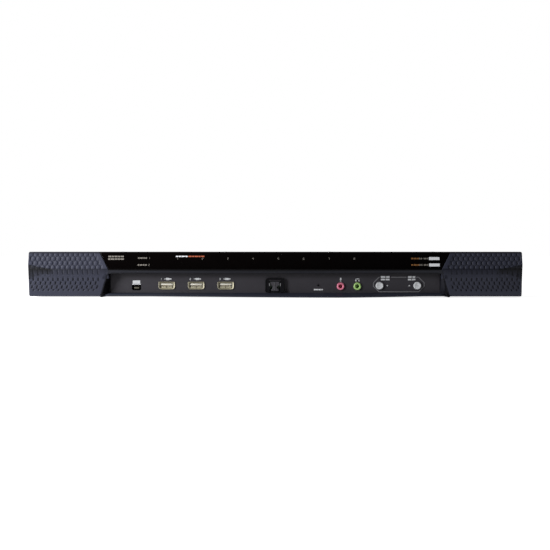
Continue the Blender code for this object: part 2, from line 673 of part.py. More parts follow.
def add_usb_stack(metal, plastic):
    half, back, floor = USB_STACK_HALF, 386.0, 390.0
    levels = (ON_BOARD + 4.2, ON_BOARD + 11.8)
    shell = box((USB_STACK_X - half, USB_STACK_X + half), (back, REAR_FACE),
                (ON_BOARD, ON_BOARD + USB_STACK_HEIGHT))
    mouths = [block(USB_STACK_X, z, *USB_MOUTH, floor, REAR_FACE + 1) for z in levels]
    add_part("rear_usb_shell", metal, shell, mouths)
    for number, z in enumerate(levels, 1):
        tongue = usb_tongue(USB_STACK_X, z, floor + GAP, floor + 3, REAR_FACE - 1.2)
        add_part(f"rear_usb_tongue_{number}", plastic, tongue)


def add_monitor_port(metal):
    """Three-row D connector: flange, D-shaped shell and two jack posts."""
    face = CHASSIS_BACK + GAP
    flange = block(MONITOR_X, MONITOR_Z, 15.4, 6.2, face, face + 0.8)
    dee = [(-8.2, 3.9), (8.2, 3.9), (7.2, -3.9), (-7.2, -3.9)]
    shell = prism([(MONITOR_X + x, MONITOR_Z + z) for x, z in dee], "depth", 390, LENGTH)
    posts = [turned(MONITOR_X + x, MONITOR_Z, [(2.6, face + 0.4), (2.6, face + 5.4)], 6)
             for x in (-12.5, 12.5)]
    add_part("monitor_port", metal, flange, (), [shell, merge(posts)])


def add_power_inlet(number, x, plastic):
    """Appliance inlet with three flat pins, pushed into the panel from outside."""
    face = CHASSIS_BACK + GAP
    flange = block(x, POWER_Z, 15.3, 11.8, face, face + 2)
    body = block(x, POWER_Z, *INLET_BODY, 380, face + 0.5)
    mouth = [(-12, -8), (12, -8), (12, 4.5), (8.5, 8), (-8.5, 8), (-12, 4.5)]
    cavity = prism([(x + a, POWER_Z + b) for a, b in mouth], "depth", 388, face + 3)
    pins = [block(x + a, POWER_Z + b, 1.0, 2.0, 387, 402) for a, b in ((-7, -1.5), (7, -1.5), (0, 2.5))]
    part = make_object(f"power_inlet_{number}", flange, plastic)
    add_boolean(part, "UNION", body)
    add_boolean(part, "DIFFERENCE", cavity)
    add_boolean(part, "UNION", merge(pins))


def add_power_switch(number, x, plastic, rocker_plastic):
    face = CHASSIS_BACK + GAP
    flange = block(x, POWER_Z, 7.8, 11.0, face, face + 1.5)
    body = block(x, POWER_Z, *SWITCH_BODY, 388, face + 0.5)
    part = make_object(f"switch_frame_{number}", flange, plastic)
    add_boolean(part, "UNION", body)
    add_boolean(part, "DIFFERENCE", block(x, POWER_Z, 5.3, 8.5, 392, face + 3))

    shape = [(-3, -5.5), (1, -7.4), (4.4, -7.4), (2.8, 0), (4.4, 7.4), (1, 7.4), (-3, 5.5)]
    cosine, sine = math.cos(ROCKER_TILT), math.sin(ROCKER_TILT)
    outline = [(ROCKER_DEPTH + a * cosine - b * sine, POWER_Z + a * sine + b * cosine) for a, b in shape]
    add_part(f"power_rocker_{number}", rocker_plastic, prism(outline, "x", x - 5.0, x + 5.0),
             origin=(x, ROCKER_DEPTH, POWER_Z))


def add_ground_screw(metal):
    x, z = GROUND
    face = CHASSIS_BACK + GAP
    profile = [(2.6, face + 2.2), (3.4, face + 1.4), (3.4, face), (1.8, face), (1.8, 398)]
    add_part("ground_screw", metal, turned(x, z, profile, 16))


def build():
    clear_scene()
    slate = surface("slate_plastic", (0.075, 0.08, 0.105), 0.5)
    dark = surface("dark_plastic", (0.04, 0.042, 0.052), 0.5)
    gloss = surface("gloss_black", (0.004, 0.003, 0.003), 0.08)
    black = surface("black_plastic", (0.012, 0.012, 0.015), 0.35)
    shell_metal = surface("connector_metal", (0.62, 0.6, 0.55), 0.3, 1.0)
    tongue = surface("tongue_plastic", (0.72, 0.7, 0.64), 0.5)
    pink = surface("pink_plastic", (0.6, 0.16, 0.25), 0.45)
    green = surface("green_plastic", (0.3, 0.5, 0.2), 0.45)
    button = surface("button_plastic", (0.42, 0.44, 0.47), 0.45)
    painted = surface("painted_steel", (0.018, 0.018, 0.021), 0.45)
    zinc = surface("zinc_steel", (0.55, 0.56, 0.57), 0.4, 1.0)
    board = surface("circuit_board", (0.02, 0.12, 0.05), 0.5)
    aluminium = surface("aluminium", (0.7, 0.7, 0.72), 0.35, 1.0)
    clear = surface("clear_plastic", (0.85, 0.88, 0.9), 0.1)
    grey_cable = surface("grey_cable", (0.35, 0.36, 0.38), 0.6)
    yellow = surface("transformer_tape", (0.75, 0.6, 0.12), 0.55)

    add_wing("bezel_wing_left", -1, slate)
    add_wing("bezel_wing_right", 1, slate)
    add_bezel_center(dark)
    add_display_window(gloss)

    add_port_panel(dark)
    for number, x in enumerate(USB_X, 1):
        add_usb_port(number, x, shell_metal, tongue)
    add_laptop_port(shell_metal, tongue)
    add_audio_jack("mic_jack", *MIC_JACK, pink, PANEL_DEPTH, -1)
    add_audio_jack("speaker_jack", *SPEAKER_JACK, green, PANEL_DEPTH, -1)
    add_latch(black, black)
    add_push_buttons(button, black)
    add_front_electronics(board, clear, grey_cable)

    add_chassis(painted, zinc)
    add_rack_ear("rack_ear_left", -1, painted)
    add_rack_ear("rack_ear_right", 1, painted)
    add_rear_plates(painted)

    add_main_board(board, black, aluminium)
    for number, x in enumerate(INLET_X, 1):
        add_power_supply(number, x, board, yellow, black)
    for number, depth in enumerate(FAN_DEPTHS, 1):
        add_fan(number, depth, black, black)

    for name, x in zip(("kvm_ports_high", "kvm_ports_low"), KVM_BLOCK_X):
        add_modular_jacks(name, x, KVM_JACKS, shell_metal)
    for number, x in enumerate(LAN_X, 1):
        add_modular_jacks(f"lan_port_{number}", x, 1, shell_metal)
    add_audio_jack("rear_speaker_jack", REAR_AUDIO_X[0], REAR_AUDIO_Z, green, CHASSIS_BACK, 1)
    add_audio_jack("rear_mic_jack", REAR_AUDIO_X[1], REAR_AUDIO_Z, pink, CHASSIS_BACK, 1)
    add_usb_stack(shell_metal, tongue)
    add_monitor_port(shell_metal)
    for number, x in enumerate(INLET_X, 1):
        add_power_inlet(number, x, black)
    for number, x in enumerate(SWITCH_X, 1):
        add_power_switch(number, x, black, black)
    add_ground_screw(zinc)


build()
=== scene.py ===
"""Looks of the rack-mount KVM switch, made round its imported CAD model.

Sizes are in millimetres, except the studio's, which are in metres. "depth" is the distance
behind the frontmost point, so a point is given as (x, depth, z).
"""
import json
import math

import bmesh
import bpy
import numpy as np
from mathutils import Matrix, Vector


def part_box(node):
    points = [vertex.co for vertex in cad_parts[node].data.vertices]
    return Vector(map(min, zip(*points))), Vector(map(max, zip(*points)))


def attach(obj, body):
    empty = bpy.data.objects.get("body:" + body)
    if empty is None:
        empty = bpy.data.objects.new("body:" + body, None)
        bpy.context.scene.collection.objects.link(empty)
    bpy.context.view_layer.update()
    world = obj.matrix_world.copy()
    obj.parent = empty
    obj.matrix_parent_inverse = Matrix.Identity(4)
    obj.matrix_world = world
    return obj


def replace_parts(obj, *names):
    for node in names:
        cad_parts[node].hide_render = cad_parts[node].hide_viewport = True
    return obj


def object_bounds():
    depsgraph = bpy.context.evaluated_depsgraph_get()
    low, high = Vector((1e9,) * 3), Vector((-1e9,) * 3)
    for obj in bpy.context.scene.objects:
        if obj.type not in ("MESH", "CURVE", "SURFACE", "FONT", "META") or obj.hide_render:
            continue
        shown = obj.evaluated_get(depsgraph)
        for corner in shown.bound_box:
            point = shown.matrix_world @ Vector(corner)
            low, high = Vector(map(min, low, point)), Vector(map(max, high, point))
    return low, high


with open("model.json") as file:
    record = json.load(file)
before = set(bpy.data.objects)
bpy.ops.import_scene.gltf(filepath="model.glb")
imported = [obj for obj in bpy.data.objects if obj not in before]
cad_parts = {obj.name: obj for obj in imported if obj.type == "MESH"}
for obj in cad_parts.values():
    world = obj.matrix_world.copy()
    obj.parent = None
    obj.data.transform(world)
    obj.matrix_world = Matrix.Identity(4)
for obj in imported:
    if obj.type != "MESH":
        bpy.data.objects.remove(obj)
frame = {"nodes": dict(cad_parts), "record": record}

cad_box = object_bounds()
MM = 0.001
FRONT_Y = cad_box[0][1] / MM
nodes = frame["nodes"]


def cad(node):
    """Lowest and highest corner of a CAD node as (x, depth, z)."""
    low, high = (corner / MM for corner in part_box(node))
    return (Vector((low.x, low.y - FRONT_Y, low.z)), Vector((high.x, high.y - FRONT_Y, high.z)))


# Places and sizes read from the frame
wing_low, wing_high = cad("bezel_wing_right")
window_low = cad("display_window")[0]
panel_low, panel_high = cad("port_panel")
rear_low, rear_high = cad("rear_panel")
cover_high = cad("top_cover")[1]

# Driving sizes of the bezel
TOP = wing_high.z
BOTTOM = wing_low.z
OUTER = wing_high.x
RIDGE_DEPTH = wing_low.y
EDGE_DEPTH = RIDGE_DEPTH + 5.0
BEZEL_BACK = wing_high.y
RIDGE_Z = window_low.z - 0.1
CHEVRON_TIP = wing_low.x
CHEVRON_TOP = CHEVRON_TIP + 9.5
CHEVRON_BOTTOM = CHEVRON_TIP + 8.7
WINDOW_INSET = 0.6
RECESS_TOP = panel_high.z + 0.3
PANEL_FACE = panel_low.y
REAR_FACE = rear_high.y


# ---- geometry helpers

def place(point):
    """World position in metres of a point (x, depth, z)."""
    return Vector((point[0], FRONT_Y + point[1], point[2])) * MM


def new_piece(name, points, faces, slot, finish=None, body="chassis", smooth_angle=35.0):
    """Mesh piece from points (x, depth, z), riding on a body; its finish is its slot's unless named."""
    bm = bmesh.new()
    vertices = [bm.verts.new(place(point)) for point in points]
    for face in faces:
        bm.faces.new([vertices[index] for index in face])
    bmesh.ops.remove_doubles(bm, verts=bm.verts, dist=0.000001)
    bmesh.ops.recalc_face_normals(bm, faces=bm.faces)
    mesh = bpy.data.meshes.new(name)
    bm.to_mesh(mesh)
    bm.free()
    mesh.shade_smooth()
    mesh.set_sharp_from_angle(angle=math.radians(smooth_angle))
    mesh.materials.append(finishes[finish or slot])
    piece = bpy.data.objects.new(name, mesh)
    bpy.context.scene.collection.objects.link(piece)
    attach(piece, body)
    return piece


def loft(sections):
    count = len(sections[0])
    points = [point for section in sections for point in section]
    faces = [list(range(count))]
    for ring in range(len(sections) - 1):
        low, high = ring * count, (ring + 1) * count
        for index in range(count):
            after = (index + 1) % count
            faces.append([low + index, low + after, high + after, high + index])
    last = (len(sections) - 1) * count
    faces.append([last + index for index in range(count)])
    return points, faces


def merge(solids):
    points, faces = [], []
    for solid_points, solid_faces in solids:
        offset = len(points)
        points.extend(solid_points)
        faces.extend([index + offset for index in face] for face in solid_faces)
    return points, faces


def box(x, depth, z):
    corners = ((x[0], z[0]), (x[1], z[0]), (x[1], z[1]), (x[0], z[1]))
    return loft([[(a, at, b) for a, b in corners] for at in depth])


def bevelled(piece, width, segments=2):
    """Rounds a piece's hard edges; width in millimetres."""
    modifier = piece.modifiers.new("rounded_edges", "BEVEL")
    modifier.width = width * MM
    modifier.segments = segments
    modifier.limit_method = "ANGLE"
    modifier.angle_limit = math.radians(32)
    modifier.harden_normals = True


# ---- materials

NOISE_LOW, NOISE_HIGH = 0.3, 0.7    # most of a noise texture's values lie between these
DRIFT = 28.0                        # cycles per metre of the slow drift


def shader_of(material):
    return material.node_tree.nodes["Principled BSDF"]


def set_inputs(node, **values):
    """Sets a node's inputs; a space in an input's name is written as an underscore."""
    for key, value in values.items():
        node.inputs[key.replace("_", " ")].default_value = value
    return node


def surface(name, colour, roughness, metallic=0.0, grain=2600.0, bump=0.03, tint=0.12, spread=0.06,
            stretch=(1.0, 1.0, 1.0), hollows=False, **inputs):
    """Procedural finish: fine grain in the surface, slow drift in colour and roughness.

    grain is in cycles per metre, bump in millimetres, tint and spread are the drifts' sizes.
    With its shade flag set, painted shade darkens the colour by the values that the mesh carries at its
    points.
    """
    material = bpy.data.materials.new(name)
    material.use_nodes = True
    tree = material.node_tree
    link = tree.links.new
    shader = set_inputs(shader_of(material), Metallic=metallic, **inputs)

    where = tree.nodes.new("ShaderNodeTexCoord")
    scaled = set_inputs(tree.nodes.new("ShaderNodeMapping"), Scale=stretch)
    link(where.outputs["Object"], scaled.inputs["Vector"])

    def noise(scale, detail):
        node = set_inputs(tree.nodes.new("ShaderNodeTexNoise"), Scale=scale, Detail=detail)
        link(scaled.outputs["Vector"], node.inputs["Vector"])
        return node.outputs["Fac"]

    def ranged(value, low, high):
        node = set_inputs(tree.nodes.new("ShaderNodeMapRange"),
                          From_Min=NOISE_LOW, From_Max=NOISE_HIGH, To_Min=low, To_Max=high)
        link(value, node.inputs["Value"])
        return node.outputs["Result"]

    fine, slow = noise(grain, 3.0), noise(DRIFT, 4.0)
    ramp = tree.nodes.new("ShaderNodeValToRGB")
    ends = ((NOISE_LOW, 1 - tint), (NOISE_HIGH, 1 + tint))
    for element, (position, factor) in zip(ramp.color_ramp.elements, ends):
        element.position = position
        element.color = (*[min(1.0, channel * factor) for channel in colour], 1)
    mixed = tree.nodes.new("ShaderNodeMath")
    mixed.operation = "MULTIPLY_ADD"
    mixed.inputs[1].default_value = 0.5
    halved = ranged(slow, 0.15, 0.35)
    link(fine, mixed.inputs[0])
    link(halved, mixed.inputs[2])
    link(mixed.outputs["Value"], ramp.inputs["Fac"])
    colour_out = ramp.outputs["Color"]
    # Painted shade: the mesh's values at its points darken the colour towards black.
    if hollows:
        values = tree.nodes.new("ShaderNodeAttribute")
        values.attribute_name = "painted_shade"
        darker = tree.nodes.new("ShaderNodeMix")
        darker.data_type = "RGBA"
        darker.inputs["B"].default_value = (0.0, 0.0, 0.0, 1.0)
        link(values.outputs["Fac"], darker.inputs["Factor"])
        link(colour_out, darker.inputs["A"])
        colour_out = darker.outputs["Result"]
    link(colour_out, shader.inputs["Base Color"])
    link(ranged(slow, roughness - spread, roughness + spread), shader.inputs["Roughness"])
    if bump:
        relief = set_inputs(tree.nodes.new("ShaderNodeBump"), Distance=bump * MM, Strength=0.7)
        link(fine, relief.inputs["Height"])
        link(relief.outputs["Normal"], shader.inputs["Normal"])
    return material


def paint_shade_by_height(material, stops):
    """Paints shade into the colour: multiplies it by factors at fractions of the piece's height."""
    tree = material.node_tree
    link = tree.links.new
    shader = shader_of(material)
    base = shader.inputs["Base Color"].links[0].from_socket
    where = tree.nodes.new("ShaderNodeTexCoord")
    parts = tree.nodes.new("ShaderNodeSeparateXYZ")
    ramp = tree.nodes.new("ShaderNodeValToRGB")
    ramp.color_ramp.interpolation = "EASE"
    elements = ramp.color_ramp.elements
    for index, (height, factor) in enumerate(stops):
        element = elements[index] if index < 2 else elements.new(height)
        element.position = height
        element.color = (factor, factor, factor, 1)
    product = tree.nodes.new("ShaderNodeMix")
    product.data_type = "RGBA"
    product.blend_type = "MULTIPLY"
    product.inputs["Factor"].default_value = 1.0
    link(where.outputs["Generated"], parts.inputs["Vector"])
    link(parts.outputs["Z"], ramp.inputs["Fac"])
    link(base, product.inputs["A"])
    link(ramp.outputs["Color"], product.inputs["B"])
    link(product.outputs["Result"], shader.inputs["Base Color"])


LABEL = dict(bump=0.002, tint=0.05)     # shared by the printed marks
FINISHES = {                    # colour, roughness, and what else differs from a plain plastic
    "slate_plastic": ((0.036, 0.0385, 0.058), 0.42, dict(bump=0.02, hollows=True, Specular_IOR_Level=0.1)),
    "dark_plastic": ((0.008, 0.0085, 0.0135), 0.5, dict(bump=0.02, Specular_IOR_Level=0.17)),
    "gloss_black": ((0.0022, 0.0016, 0.0016), 0.07,
                    dict(grain=90.0, bump=0.0, spread=0.02, Specular_IOR_Level=0.25)),
    "black_plastic": ((0.004, 0.004, 0.0055), 0.4, dict(bump=0.01, Specular_IOR_Level=0.08)),
    "connector_metal": ((0.62, 0.58, 0.5), 0.34,
                        dict(metallic=1.0, grain=1400.0, bump=0.004, stretch=(1.0, 0.15, 1.0))),
    "tongue_plastic": ((0.85, 0.82, 0.72), 0.45, dict(bump=0.004, tint=0.05)),
    "pink_plastic": ((0.85, 0.24, 0.36), 0.36, dict(bump=0.006)),
    "green_plastic": ((0.42, 0.68, 0.22), 0.36, dict(bump=0.006)),
    "button_plastic": ((0.78, 0.8, 0.83), 0.4, dict(bump=0.008, tint=0.04)),
    "painted_steel": ((0.02, 0.0205, 0.0235), 0.48, dict(grain=1500.0, bump=0.05)),
    "zinc_steel": ((0.52, 0.53, 0.54), 0.36, dict(metallic=1.0, grain=320.0, bump=0.006, tint=0.18)),
    "circuit_board": ((0.015, 0.1, 0.04), 0.35, dict(grain=500.0, bump=0.01, tint=0.25)),
    "aluminium": ((0.7, 0.7, 0.72), 0.32,
                  dict(metallic=1.0, grain=900.0, bump=0.006, stretch=(1.0, 0.05, 1.0))),
    "clear_plastic": ((0.85, 0.88, 0.9), 0.12, dict(bump=0.0, tint=0.03, spread=0.03)),
    "grey_cable": ((0.33, 0.34, 0.36), 0.55, dict(grain=600.0, bump=0.06, stretch=(1.0, 0.02, 0.02))),
    "transformer_tape": ((0.72, 0.56, 0.1), 0.5, dict(grain=300.0, bump=0.03, stretch=(0.05, 0.05, 1.0))),
    "label_white": ((0.8, 0.82, 0.85), 0.55, LABEL),
    "lip_plastic": ((0.02, 0.0225, 0.035), 0.6, dict(bump=0.02, Specular_IOR_Level=0.1)),
    "warm_metal": ((0.42, 0.39, 0.285), 0.5, dict(metallic=0.25, grain=1400.0, bump=0.004)),
    "panel_plastic": ((0.05, 0.047, 0.056), 0.52, dict(bump=0.02, Specular_IOR_Level=0.17)),
    "contact_gold": ((0.9, 0.62, 0.25), 0.25, dict(metallic=1.0, grain=900.0, bump=0.0)),
    "label_orange": ((0.4, 0.09, 0.035), 0.55, LABEL),
    "label_amber": ((0.2, 0.085, 0.02), 0.55, LABEL),
    "label_grey": ((0.17, 0.17, 0.185), 0.55, LABEL),
    "label_dim": ((0.17, 0.155, 0.135), 0.55, LABEL),
    "tab_plastic": ((0.03, 0.029, 0.037), 0.4, dict(bump=0.01)),
    "clip_steel": ((0.2, 0.2, 0.21), 0.45, dict(metallic=0.6, grain=700.0, bump=0.004)),
    "tongue_dark": ((0.11, 0.1, 0.07), 0.5, dict(bump=0.004, tint=0.05)),
    "screw_steel": ((0.6, 0.6, 0.6), 0.3, dict(metallic=1.0, grain=700.0, bump=0.004)),
}
finishes = {name: surface(name, colour, roughness, **more)
            for name, (colour, roughness, more) in FINISHES.items()}
# Painted shade on the port panel: darker at the top under the strip's overhang, brightest at six tenths of
# its height, and darker towards the bottom by the lip.
paint_shade_by_height(finishes["panel_plastic"], ((0.0, 0.7), (1.0, 0.45), (0.6, 1.0)))


# ---- wings

CELL = 4.9                      # width of one cell of the grip pattern
ROW = CELL * math.sqrt(3) / 2
ROW_SQUEEZE = 1.13              # the rows below the ridge lie closer together
LEAN_TOP = 14.0                 # below this height the cells lean outwards
LEAN = -0.35
SCOOP_START = OUTER - 26.0      # the ridge fans out into a facet from here to the outer end
CREASE_RISE = 4.9
FOLD_DROP = 10.2
FOLD_DEPTH = 3.6


def smooth_step(low, high, value):
    t = np.clip((value - low) / (high - low), 0.0, 1.0)
    return t * t * (3 - 2 * t)


def chevron(z):
    """Half width between the wings at a height."""
    upper = CHEVRON_TIP + (CHEVRON_TOP - CHEVRON_TIP) * (z - RIDGE_Z) / (TOP - RIDGE_Z)
    lower = CHEVRON_TIP + (CHEVRON_BOTTOM - CHEVRON_TIP) * (RIDGE_Z - z) / (RIDGE_Z - BOTTOM)
    return np.where(z >= RIDGE_Z, upper, lower)


def cell_border(x, z):
    """Distances to the upright and to the sloping borders of the six-sided cell at each point."""
    up = z - RIDGE_Z
    up = np.where(up < 0, up * ROW_SQUEEZE, up) - ROW / 2
    across_x = x + LEAN * np.clip(LEAN_TOP - z, 0, None)
    best = upright = None
    for shift in (0, 1):
        row = 2 * np.round((up - shift * ROW) / (2 * ROW)) + shift
        offset = shift * CELL / 2
        centre_x = np.round((across_x - offset) / CELL) * CELL + offset
        across, along = np.abs(across_x - centre_x), np.abs(up - row * ROW)
        sloped = across / 2 + along * math.sqrt(3) / 2
        reach = np.maximum(across, sloped)
        if best is None:
            best, upright, slanted = reach, across, sloped
        else:
            nearer = reach < best
            upright = np.where(nearer, across, upright)
            slanted = np.where(nearer, sloped, slanted)
            best = np.minimum(best, reach)
    return CELL / 2 - upright, CELL / 2 - slanted


def scoop_depth(x, z):
    """Depth of the ridged front, with the fanned facet near the outer end."""
    fan = np.clip((x - SCOOP_START) / (OUTER - SCOOP_START), 0.0, 1.0)
    crease = RIDGE_Z + CREASE_RISE * fan
    fold = RIDGE_Z - FOLD_DROP * fan
    slope = (EDGE_DEPTH - RIDGE_DEPTH) / (TOP - RIDGE_Z)
    at_crease = RIDGE_DEPTH + slope * (crease - RIDGE_Z)
    at_fold = RIDGE_DEPTH + FOLD_DEPTH * fan
    upper = RIDGE_DEPTH + slope * (z - RIDGE_Z)
    middle = at_crease + (at_fold - at_crease) * (crease - z) / np.maximum(crease - fold, 0.01)
    lower = at_fold + (EDGE_DEPTH - at_fold) * (fold - z) / (fold - BOTTOM)
    in_facet = smooth_step(0.0, 0.25, fan) * (z < crease) * smooth_step(fold - 1.0, fold + 1.5, z)
    return np.where(z >= crease, upper, np.where(z >= fold, middle, lower)), in_facet


def spread_out(length, step, fine):
    """Stops from 0 to length, close together near both ends."""
    ends = [0.0, 0.08, 0.22, 0.42, 0.7, 1.0][:fine]
    start, stop = ends[-1], length - ends[-1]
    count = max(1, round((stop - start) / step))
    middle = [start + (stop - start) * i / count for i in range(count + 1)]
    return ends[:-1] + middle + [length - end for end in reversed(ends[:-1])]


def make_wing(name, node, side):
    """Hollow wing with a honeycomb grip pattern pressed into its front."""
    step, corner, edge = 0.36, 1.6, 0.45
    columns = np.array(spread_out(OUTER - CHEVRON_TIP, step, 6)) / (OUTER - CHEVRON_TIP)
    lower = spread_out(RIDGE_Z - BOTTOM, step, 6)
    upper = spread_out(TOP - RIDGE_Z, step, 6)
    rows = np.array([BOTTOM + value for value in lower] + [RIDGE_Z + value for value in upper[1:]])
    z = np.repeat(rows[:, None], len(columns), axis=1)
    inner = chevron(z)
    x = inner + (OUTER - inner) * columns[None, :]

    from_outer = OUTER - x
    from_end = np.minimum(TOP - z, z - BOTTOM)
    across = np.clip(1 - from_outer / corner, 0, 1)
    along = np.clip(1 - from_end / corner, 0, 1)
    in_corner = (across > 0) & (along > 0)
    round_across = across * np.sqrt(1 - along ** 2 / 2)
    round_along = along * np.sqrt(1 - across ** 2 / 2)
    from_outer = np.where(in_corner, corner * (1 - round_across), from_outer)
    from_end = np.where(in_corner, corner * (1 - round_along), from_end)
    x = OUTER - from_outer
    z = np.where(z > RIDGE_Z, TOP - from_end, BOTTOM + from_end)

    radial = corner * (1 - np.hypot(round_across, round_along))
    to_edge = np.where(in_corner, radial, np.minimum(from_outer, from_end))
    to_chevron = x - chevron(z)
    to_edge = np.minimum(to_edge, to_chevron * 1.6)
    inside = np.clip(to_edge, 0, edge)
    rolled = edge - np.sqrt(edge ** 2 - (edge - inside) ** 2)

    upright, slanted = cell_border(x, z)
    above = z > RIDGE_Z
    mask = (smooth_step(3.4, 4.6, to_chevron) * smooth_step(1.2, 2.4, OUTER - x)
            * smooth_step(1.2, 2.4, TOP - z) * smooth_step(4.8, 6.0, z - BOTTOM)
            * smooth_step(0.4, 1.2, np.abs(z - RIDGE_Z)))
    groove = np.maximum(1 - smooth_step(np.where(above, 0.1, 0.25), np.where(above, 0.8, 0.95), upright),
                        np.where(above, 0.7, 0.15) * (1 - smooth_step(0.1, 0.8, slanted)))
    dome = 1 - smooth_step(0.0, CELL / 2, np.minimum(upright, slanted))
    relief = mask * (groove * np.where(above, 0.5, 0.6) + dome * np.where(above, 0.32, 0.05))
    surface_depth, in_facet = scoop_depth(x, z)
    depth = surface_depth + rolled + relief * (1 - 0.6 * in_facet)
    rims = 1 - smooth_step(0.6, 2.8, TOP - z) * smooth_step(0.0, 1.3, np.abs(z - RIDGE_Z - 0.4))
    # Painted shade: the grooves of the grip pattern and the fanned facet near the outer end are darkened in
    # the colour where shadow falls; rims adds darker bands along the top edge and just above the ridge.
    groove_shade = mask * groove * np.where(above, 0.5, 0.85) * (1 - 0.6 * in_facet)
    painted_shade = np.clip(groove_shade + 0.75 * in_facet + 0.6 * rims * above, 0, 0.92)

    height, width = x.shape
    points = [(side * a, b, c) for a, b, c in zip(x.ravel(), depth.ravel(), z.ravel())]
    faces = []
    for row in range(height - 1):
        for column in range(width - 1):
            first = row * width + column
            faces.append([first, first + 1, first + width + 1, first + width])
    rim = list(range(width))
    rim += [row * width + width - 1 for row in range(1, height)]
    rim += [(height - 1) * width + column for column in range(width - 2, -1, -1)]
    rim += [row * width for row in range(height - 2, 0, -1)]

    wall, floor = 2.6, 12.0
    hollow_x = (CHEVRON_TOP + wall, OUTER - wall)
    hollow_z = (BOTTOM + wall, TOP - wall)
    outline = [(points[index][0] * side, points[index][2]) for index in rim]
    opening = [(min(max(a, hollow_x[0]), hollow_x[1]), min(max(b, hollow_z[0]), hollow_z[1]))
               for a, b in outline]
    loops = [rim]
    for ring, at in ((outline, BEZEL_BACK), (opening, BEZEL_BACK), (opening, floor)):
        start = len(points)
        points.extend((side * a, at, b) for a, b in ring)
        loops.append(list(range(start, start + len(ring))))
    for near, far in zip(loops, loops[1:]):
        for index in range(len(rim)):
            after = (index + 1) % len(rim)
            faces.append([near[index], near[after], far[after], far[index]])
    faces.append(loops[-1])
    wing = new_piece(name, points, faces, "slate_plastic", smooth_angle=40.0)
    # The painted shade values go onto the mesh, and the slate finish darkens its colour by them.
    values = np.zeros(len(wing.data.vertices), dtype=np.float32)
    values[:painted_shade.size] = painted_shade.ravel()
    wing.data.attributes.new("painted_shade", "FLOAT", "POINT").data.foreach_set("value", values)
    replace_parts(wing, node)


make_wing("grip_wing_left", "bezel_wing_left", -1)
make_wing("grip_wing_right", "bezel_wing_right", 1)


# ---- port panel and its sockets

def plate_with_holes(outline, holes, front, back):
    """Flat plate facing the front, cut through by holes; all outlines hold (x, z) points."""
    bm = bmesh.new()
    edges = []
    for loop in (outline, *holes):
        vertices = [bm.verts.new((a, front, b)) for a, b in loop]
        edges += [bm.edges.new(pair) for pair in zip(vertices, vertices[1:] + vertices[:1])]
    bmesh.ops.triangle_fill(bm, use_beauty=True, use_dissolve=False, edges=edges)
    count = len(bm.verts)
    bm.verts.index_update()
    points = [tuple(vertex.co) for vertex in bm.verts]
    faces = [[vertex.index for vertex in face.verts] for face in bm.faces]
    rims = [(edge.verts[0].index, edge.verts[1].index) for edge in edges]
    bm.free()
    points += [(a, back, b) for a, _, b in points]
    faces += [[index + count for index in reversed(face)] for face in faces]
    faces += [[one, two, two + count, one + count] for one, two in rims]
    return points, faces


def circle(x, z, radius, sides=24):
    turn = 2 * math.pi / sides
    return [(x + radius * math.cos(turn * i), z + radius * math.sin(turn * i)) for i in range(sides)]


def rounded(x, z, half_x, half_z, radius, steps=4, low_radius=None):
    """Rectangle with round corners, anticlockwise from its right-hand side."""
    points = []
    for corner in range(4):
        r = radius if corner < 2 or low_radius is None else low_radius
        side_x, side_z = (1, -1, -1, 1)[corner], (1, 1, -1, -1)[corner]
        for step in range(steps + 1):
            angle = math.radians(90 * corner + 90 * step / steps)
            points.append((x + side_x * (half_x - r) + r * math.cos(angle),
                           z + side_z * (half_z - r) + r * math.sin(angle)))
    return points


def rings(*stations):
    """Closed solid through outlines of (x, z) points, each given with its depth."""
    return loft([[(a, depth, b) for a, b in outline] for outline, depth in stations])


def middle(node):
    """Centre of a CAD node as x and z."""
    low, high = cad(node)
    return (low.x + high.x) / 2, (low.z + high.z) / 2


USB_PORTS = [f"front_usb_shell_{number}" for number in (1, 2, 3)]
BUTTONS = ("port_down_button", "port_up_button")
USB_HOLE = (6.9, 3.2, 0.6)      # half width, half height and corner radius
LAPTOP_HOLE = (4.55, 2.65, 0.5)
RESET_HOLE = 1.1                # radii of the round holes
AUDIO_HOLE = 3.25
BUTTON_HOLE = 4.0
PANEL_OVERLAP = 0.25            # the panel reaches this far into the gap round it
ROUND_SIDES = 40                # sides of the turned pieces


def make_port_panel():
    latch_low, latch_high = cad("latch_frame")
    margin = 0.15
    holes = [rounded(*middle(node), *USB_HOLE) for node in USB_PORTS]
    holes.append(rounded(*middle("laptop_port_shell"), *LAPTOP_HOLE, low_radius=1.6))
    holes.append(rounded(*middle("latch_frame"), (latch_high.x - latch_low.x) / 2 + margin,
                         (latch_high.z - latch_low.z) / 2 - 0.1, 3.4, low_radius=0.3))
    holes.append(circle(*middle("reset_button"), RESET_HOLE))
    holes += [circle(*middle(node), AUDIO_HOLE) for node in ("mic_jack", "speaker_jack")]
    holes += [circle(*middle(node), BUTTON_HOLE) for node in BUTTONS]
    half = panel_high.x + PANEL_OVERLAP
    low, high = panel_low.z - PANEL_OVERLAP, panel_high.z + PANEL_OVERLAP
    plate = plate_with_holes([(-half, low), (half, low), (half, high), (-half, high)], holes,
                             panel_low.y, panel_high.y)
    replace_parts(new_piece("drilled_port_panel", *plate, "dark_plastic", "panel_plastic"), "port_panel")


